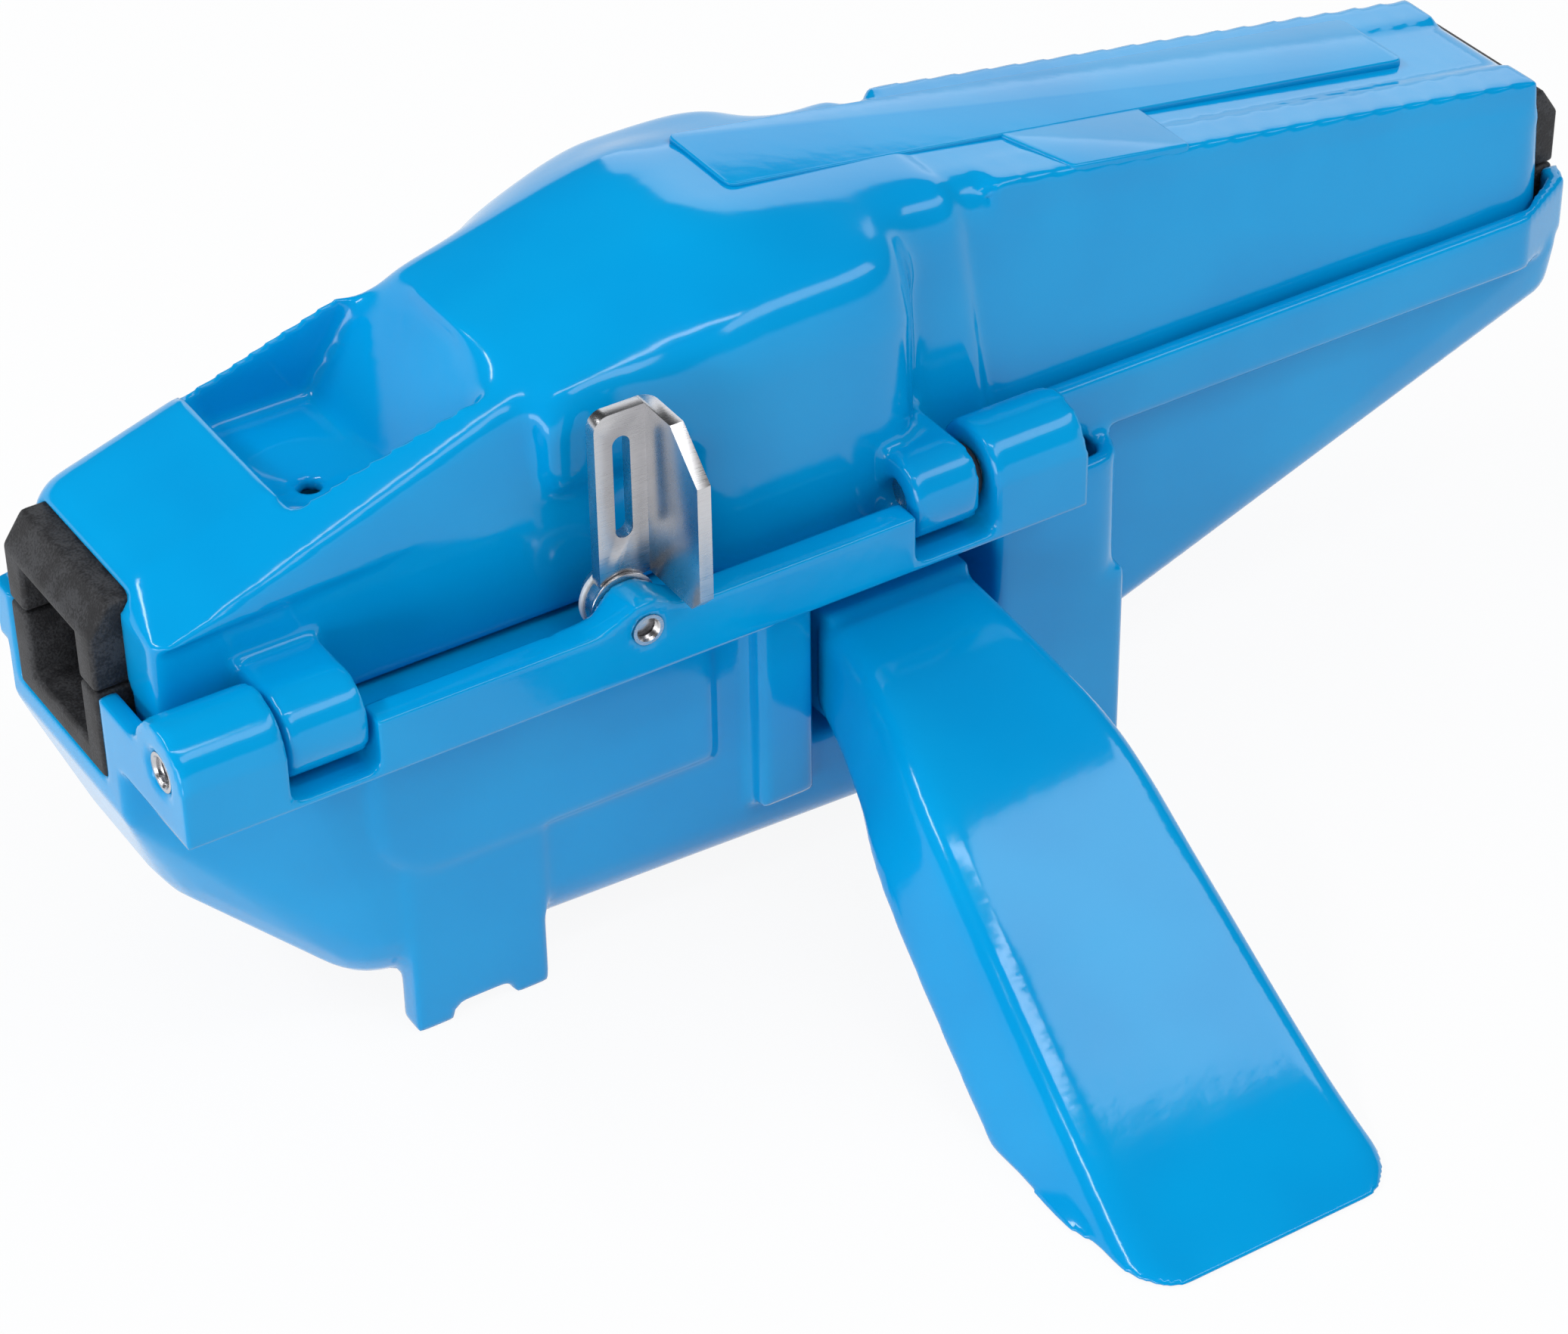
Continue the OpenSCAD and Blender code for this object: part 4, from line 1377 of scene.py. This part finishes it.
@dataclass
class Sponges:
    """The two foam sponges that wipe the chain before it leaves."""

    paints: Paintbox
    edge: float = 1.4
    crown: float = 0.5
    side_draw: float = 0.6
    end_draw: float = 0.4
    grain: float = 0.8

    def build(self) -> None:
        """Makes both sponges, crowned and with their sides drawn in."""
        for node, body in (("lower_sponge", "casing"), ("upper_sponge", "cover")):
            low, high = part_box(node)
            corners = [Vector(corner) / MM for corner in (low, high)]
            piece = block(node + "_foam", tuple(corners[0]), tuple(corners[1]))
            soften(piece, self.edge)
            modify(piece, "REMESH", mode="VOXEL", voxel_size=self.grain * MM, adaptivity=0.0)
            middle = (corners[0] + corners[1]) / 2
            half = (corners[1] - corners[0]) / 2
            for vert in piece.data.vertices:
                u, v, w = ((vert.co[i] / MM - middle[i]) / half[i] for i in range(3))
                vert.co.y -= v * self.side_draw * (1 - w * w) * MM
                vert.co.z -= w * self.crown * (u ** 4 + v ** 4) / 2 * MM
                vert.co.x -= u * self.end_draw * (1 - w * w) * MM
            pick(piece)
            bpy.ops.object.shade_smooth()
            hand_over(piece, body, "foam", self.paints, node)


@dataclass(frozen=True)
class SoftBox:
    """One lamp: where it hangs and its width and height in metres, and its power in watts."""

    name: str
    place: Point
    size: tuple[float, float]
    watts: float


@dataclass
class Studio:
    """White floor and sky, soft lamps, and the camera at the photograph's angle."""

    floor_z: float = -59.0
    eye: Point = (-287.2, -446.5, 344.0)
    azimuth: float = 31.95
    tilt: float = 36.67
    roll: float = -0.94
    lens: float = 104.2
    wall_top: float = 0.14
    ceiling: float = 0.28
    dark: float = 0.03
    light: float = 0.56
    daylight: Colour = (0.92, 0.96, 1.0)
    white: Colour = (1.0, 1.0, 1.0)
    paper: Colour = (0.82, 0.82, 0.83)
    shown: float = 0.92
    lamps: tuple[SoftBox, ...] = (
        SoftBox("key_box", place=(0.53, -0.68, 1.01), size=(1.3, 0.3), watts=4.3),
        SoftBox("edge_strip", place=(-0.1, -0.6, 1.25), size=(0.9, 0.1), watts=2.6),
        SoftBox("crease_strip", place=(-0.8, 0.22, 0.85), size=(0.9, 0.1), watts=4.6),
        SoftBox("back_box", place=(1.0, 1.15, 0.68), size=(1.2, 0.7), watts=4.2),
        SoftBox("left_box", place=(-1.1, -0.45, 0.1), size=(0.9, 0.3), watts=4))

    def floor(self) -> None:
        """Lays the white floor, which keeps the object's soft shadow."""
        bpy.ops.object.select_all(action="DESELECT")
        bpy.ops.mesh.primitive_plane_add(size=12, location=(0, 0, (self.floor_z - 0.05) * MM))
        floor = bpy.context.active_object
        floor.name = "studio_floor"
        mix = Recipe("studio_floor")
        paper = mix.node("ShaderNodeBsdfDiffuse", {}, {"Color": self.paper})
        glow = mix.node("ShaderNodeEmission", {}, {"Color": self.white, "Strength": 1.0})
        ray = mix.node("ShaderNodeLightPath", {}, {}).outputs
        seen = self.shown * Signal(mix, ray["Is Camera Ray"]) + self.shown * Signal(mix, ray["Is Glossy Ray"])
        both = mix.node("ShaderNodeMixShader", {}, {0: seen, 1: paper.outputs[0], 2: glow.outputs[0]})
        mix.node("ShaderNodeOutputMaterial", {}, {"Surface": both.outputs[0]})
        floor.data.materials.append(mix.material)

    def sky(self) -> None:
        """Makes a white wall under a dark ceiling to the camera and in reflections, and a soft light."""
        world = bpy.data.worlds.new("studio_sky")
        bpy.context.scene.world = world
        mix = Recipe("studio_sky", world)
        ray = mix.node("ShaderNodeLightPath", {}, {}).outputs
        clear = mix.node("ShaderNodeMath", {"operation": "MAXIMUM"},
                         {0: ray["Is Glossy Ray"], 1: ray["Is Transmission Ray"]})
        seen = mix.node("ShaderNodeMath", {"operation": "MAXIMUM"},
                        {0: ray["Is Camera Ray"], 1: clear.outputs[0]})
        height = mix.node("ShaderNodeSeparateXYZ", {}, {0: mix.coords["Generated"]})
        wall = mix.node("ShaderNodeMapRange", {"interpolation_type": "SMOOTHSTEP"},
                        {0: height.outputs["Z"], 1: self.wall_top, 2: self.ceiling, 3: 1.0, 4: self.dark})
        soft = mix.node("ShaderNodeBackground", {}, {"Color": self.daylight, "Strength": self.light})
        white = mix.node("ShaderNodeBackground", {}, {"Color": self.white, "Strength": wall.outputs[0]})
        both = mix.node("ShaderNodeMixShader", {},
                        {0: seen.outputs[0], 1: soft.outputs[0], 2: white.outputs[0]})
        mix.node("ShaderNodeOutputWorld", {}, {"Surface": both.outputs[0]})

    def hang(self, box: SoftBox) -> None:
        """Hangs one soft box that faces the object.

        Args:
            box: The lamp.
        """
        data = bpy.data.lights.new(box.name, "AREA")
        data.shape = "RECTANGLE"
        data.size, data.size_y = box.size
        data.energy = box.watts
        lamp = bpy.data.objects.new(box.name, data)
        bpy.context.scene.collection.objects.link(lamp)
        lamp.location = box.place
        lamp.rotation_euler = (-Vector(box.place)).to_track_quat("-Z", "Y").to_euler()

    def camera(self) -> None:
        """Sets the camera where the photograph was taken from."""
        turn, tilt, roll = (math.radians(angle) for angle in (self.azimuth, self.tilt, self.roll))
        ahead = Vector((math.sin(turn) * math.cos(tilt), math.cos(turn) * math.cos(tilt), -math.sin(tilt)))
        level = Vector((math.cos(turn), -math.sin(turn), 0))
        right = level * math.cos(roll) + level.cross(ahead) * math.sin(roll)
        up = right.cross(ahead)
        data = bpy.data.cameras.new("camera")
        data.sensor_fit = "HORIZONTAL"
        data.sensor_width = 36
        data.lens = self.lens
        data.clip_start = 0.01
        camera = bpy.data.objects.new("camera", data)
        bpy.context.scene.collection.objects.link(camera)
        turned_to = Matrix((right, up, -ahead)).transposed().to_4x4()
        camera.matrix_world = Matrix.Translation(Vector(self.eye) * MM) @ turned_to
        bpy.context.scene.camera = camera

    def build(self) -> None:
        """Sets up the whole studio."""
        bpy.context.scene.view_settings.view_transform = "Standard"
        self.floor()
        self.sky()
        for box in self.lamps:
            self.hang(box)
        self.camera()
        log.info("studio is set up")


def main() -> None:
    """Builds every piece in order."""
    logging.basicConfig(level=logging.INFO, format="%(message)s")
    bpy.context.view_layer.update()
    paints = Paintbox()
    paints.fill()
    Castings(paints).build()
    LidPlate(paints).build()
    Grip(paints).build()
    ThreadInserts(paints).build()
    Latch(paints).build()
    ChainGuides(paints).build()
    BrushWheels(paints).build()
    Sponges(paints).build()
    paints.coat_nodes("steel", "hinge_pin_front", "hinge_pin_rear", "front_lower_axle", "rear_lower_axle",
                      "front_upper_axle", "rear_upper_axle", "near_side_axle", "far_side_axle")
    paints.coat_nodes("screw_steel", "handle_screws")
    paints.coat_nodes("seal_rubber", "hinge_ring")
    paints.coat_nodes("magnet_steel", "magnet")
    Studio().build()


if __name__ == "__main__":
    main()
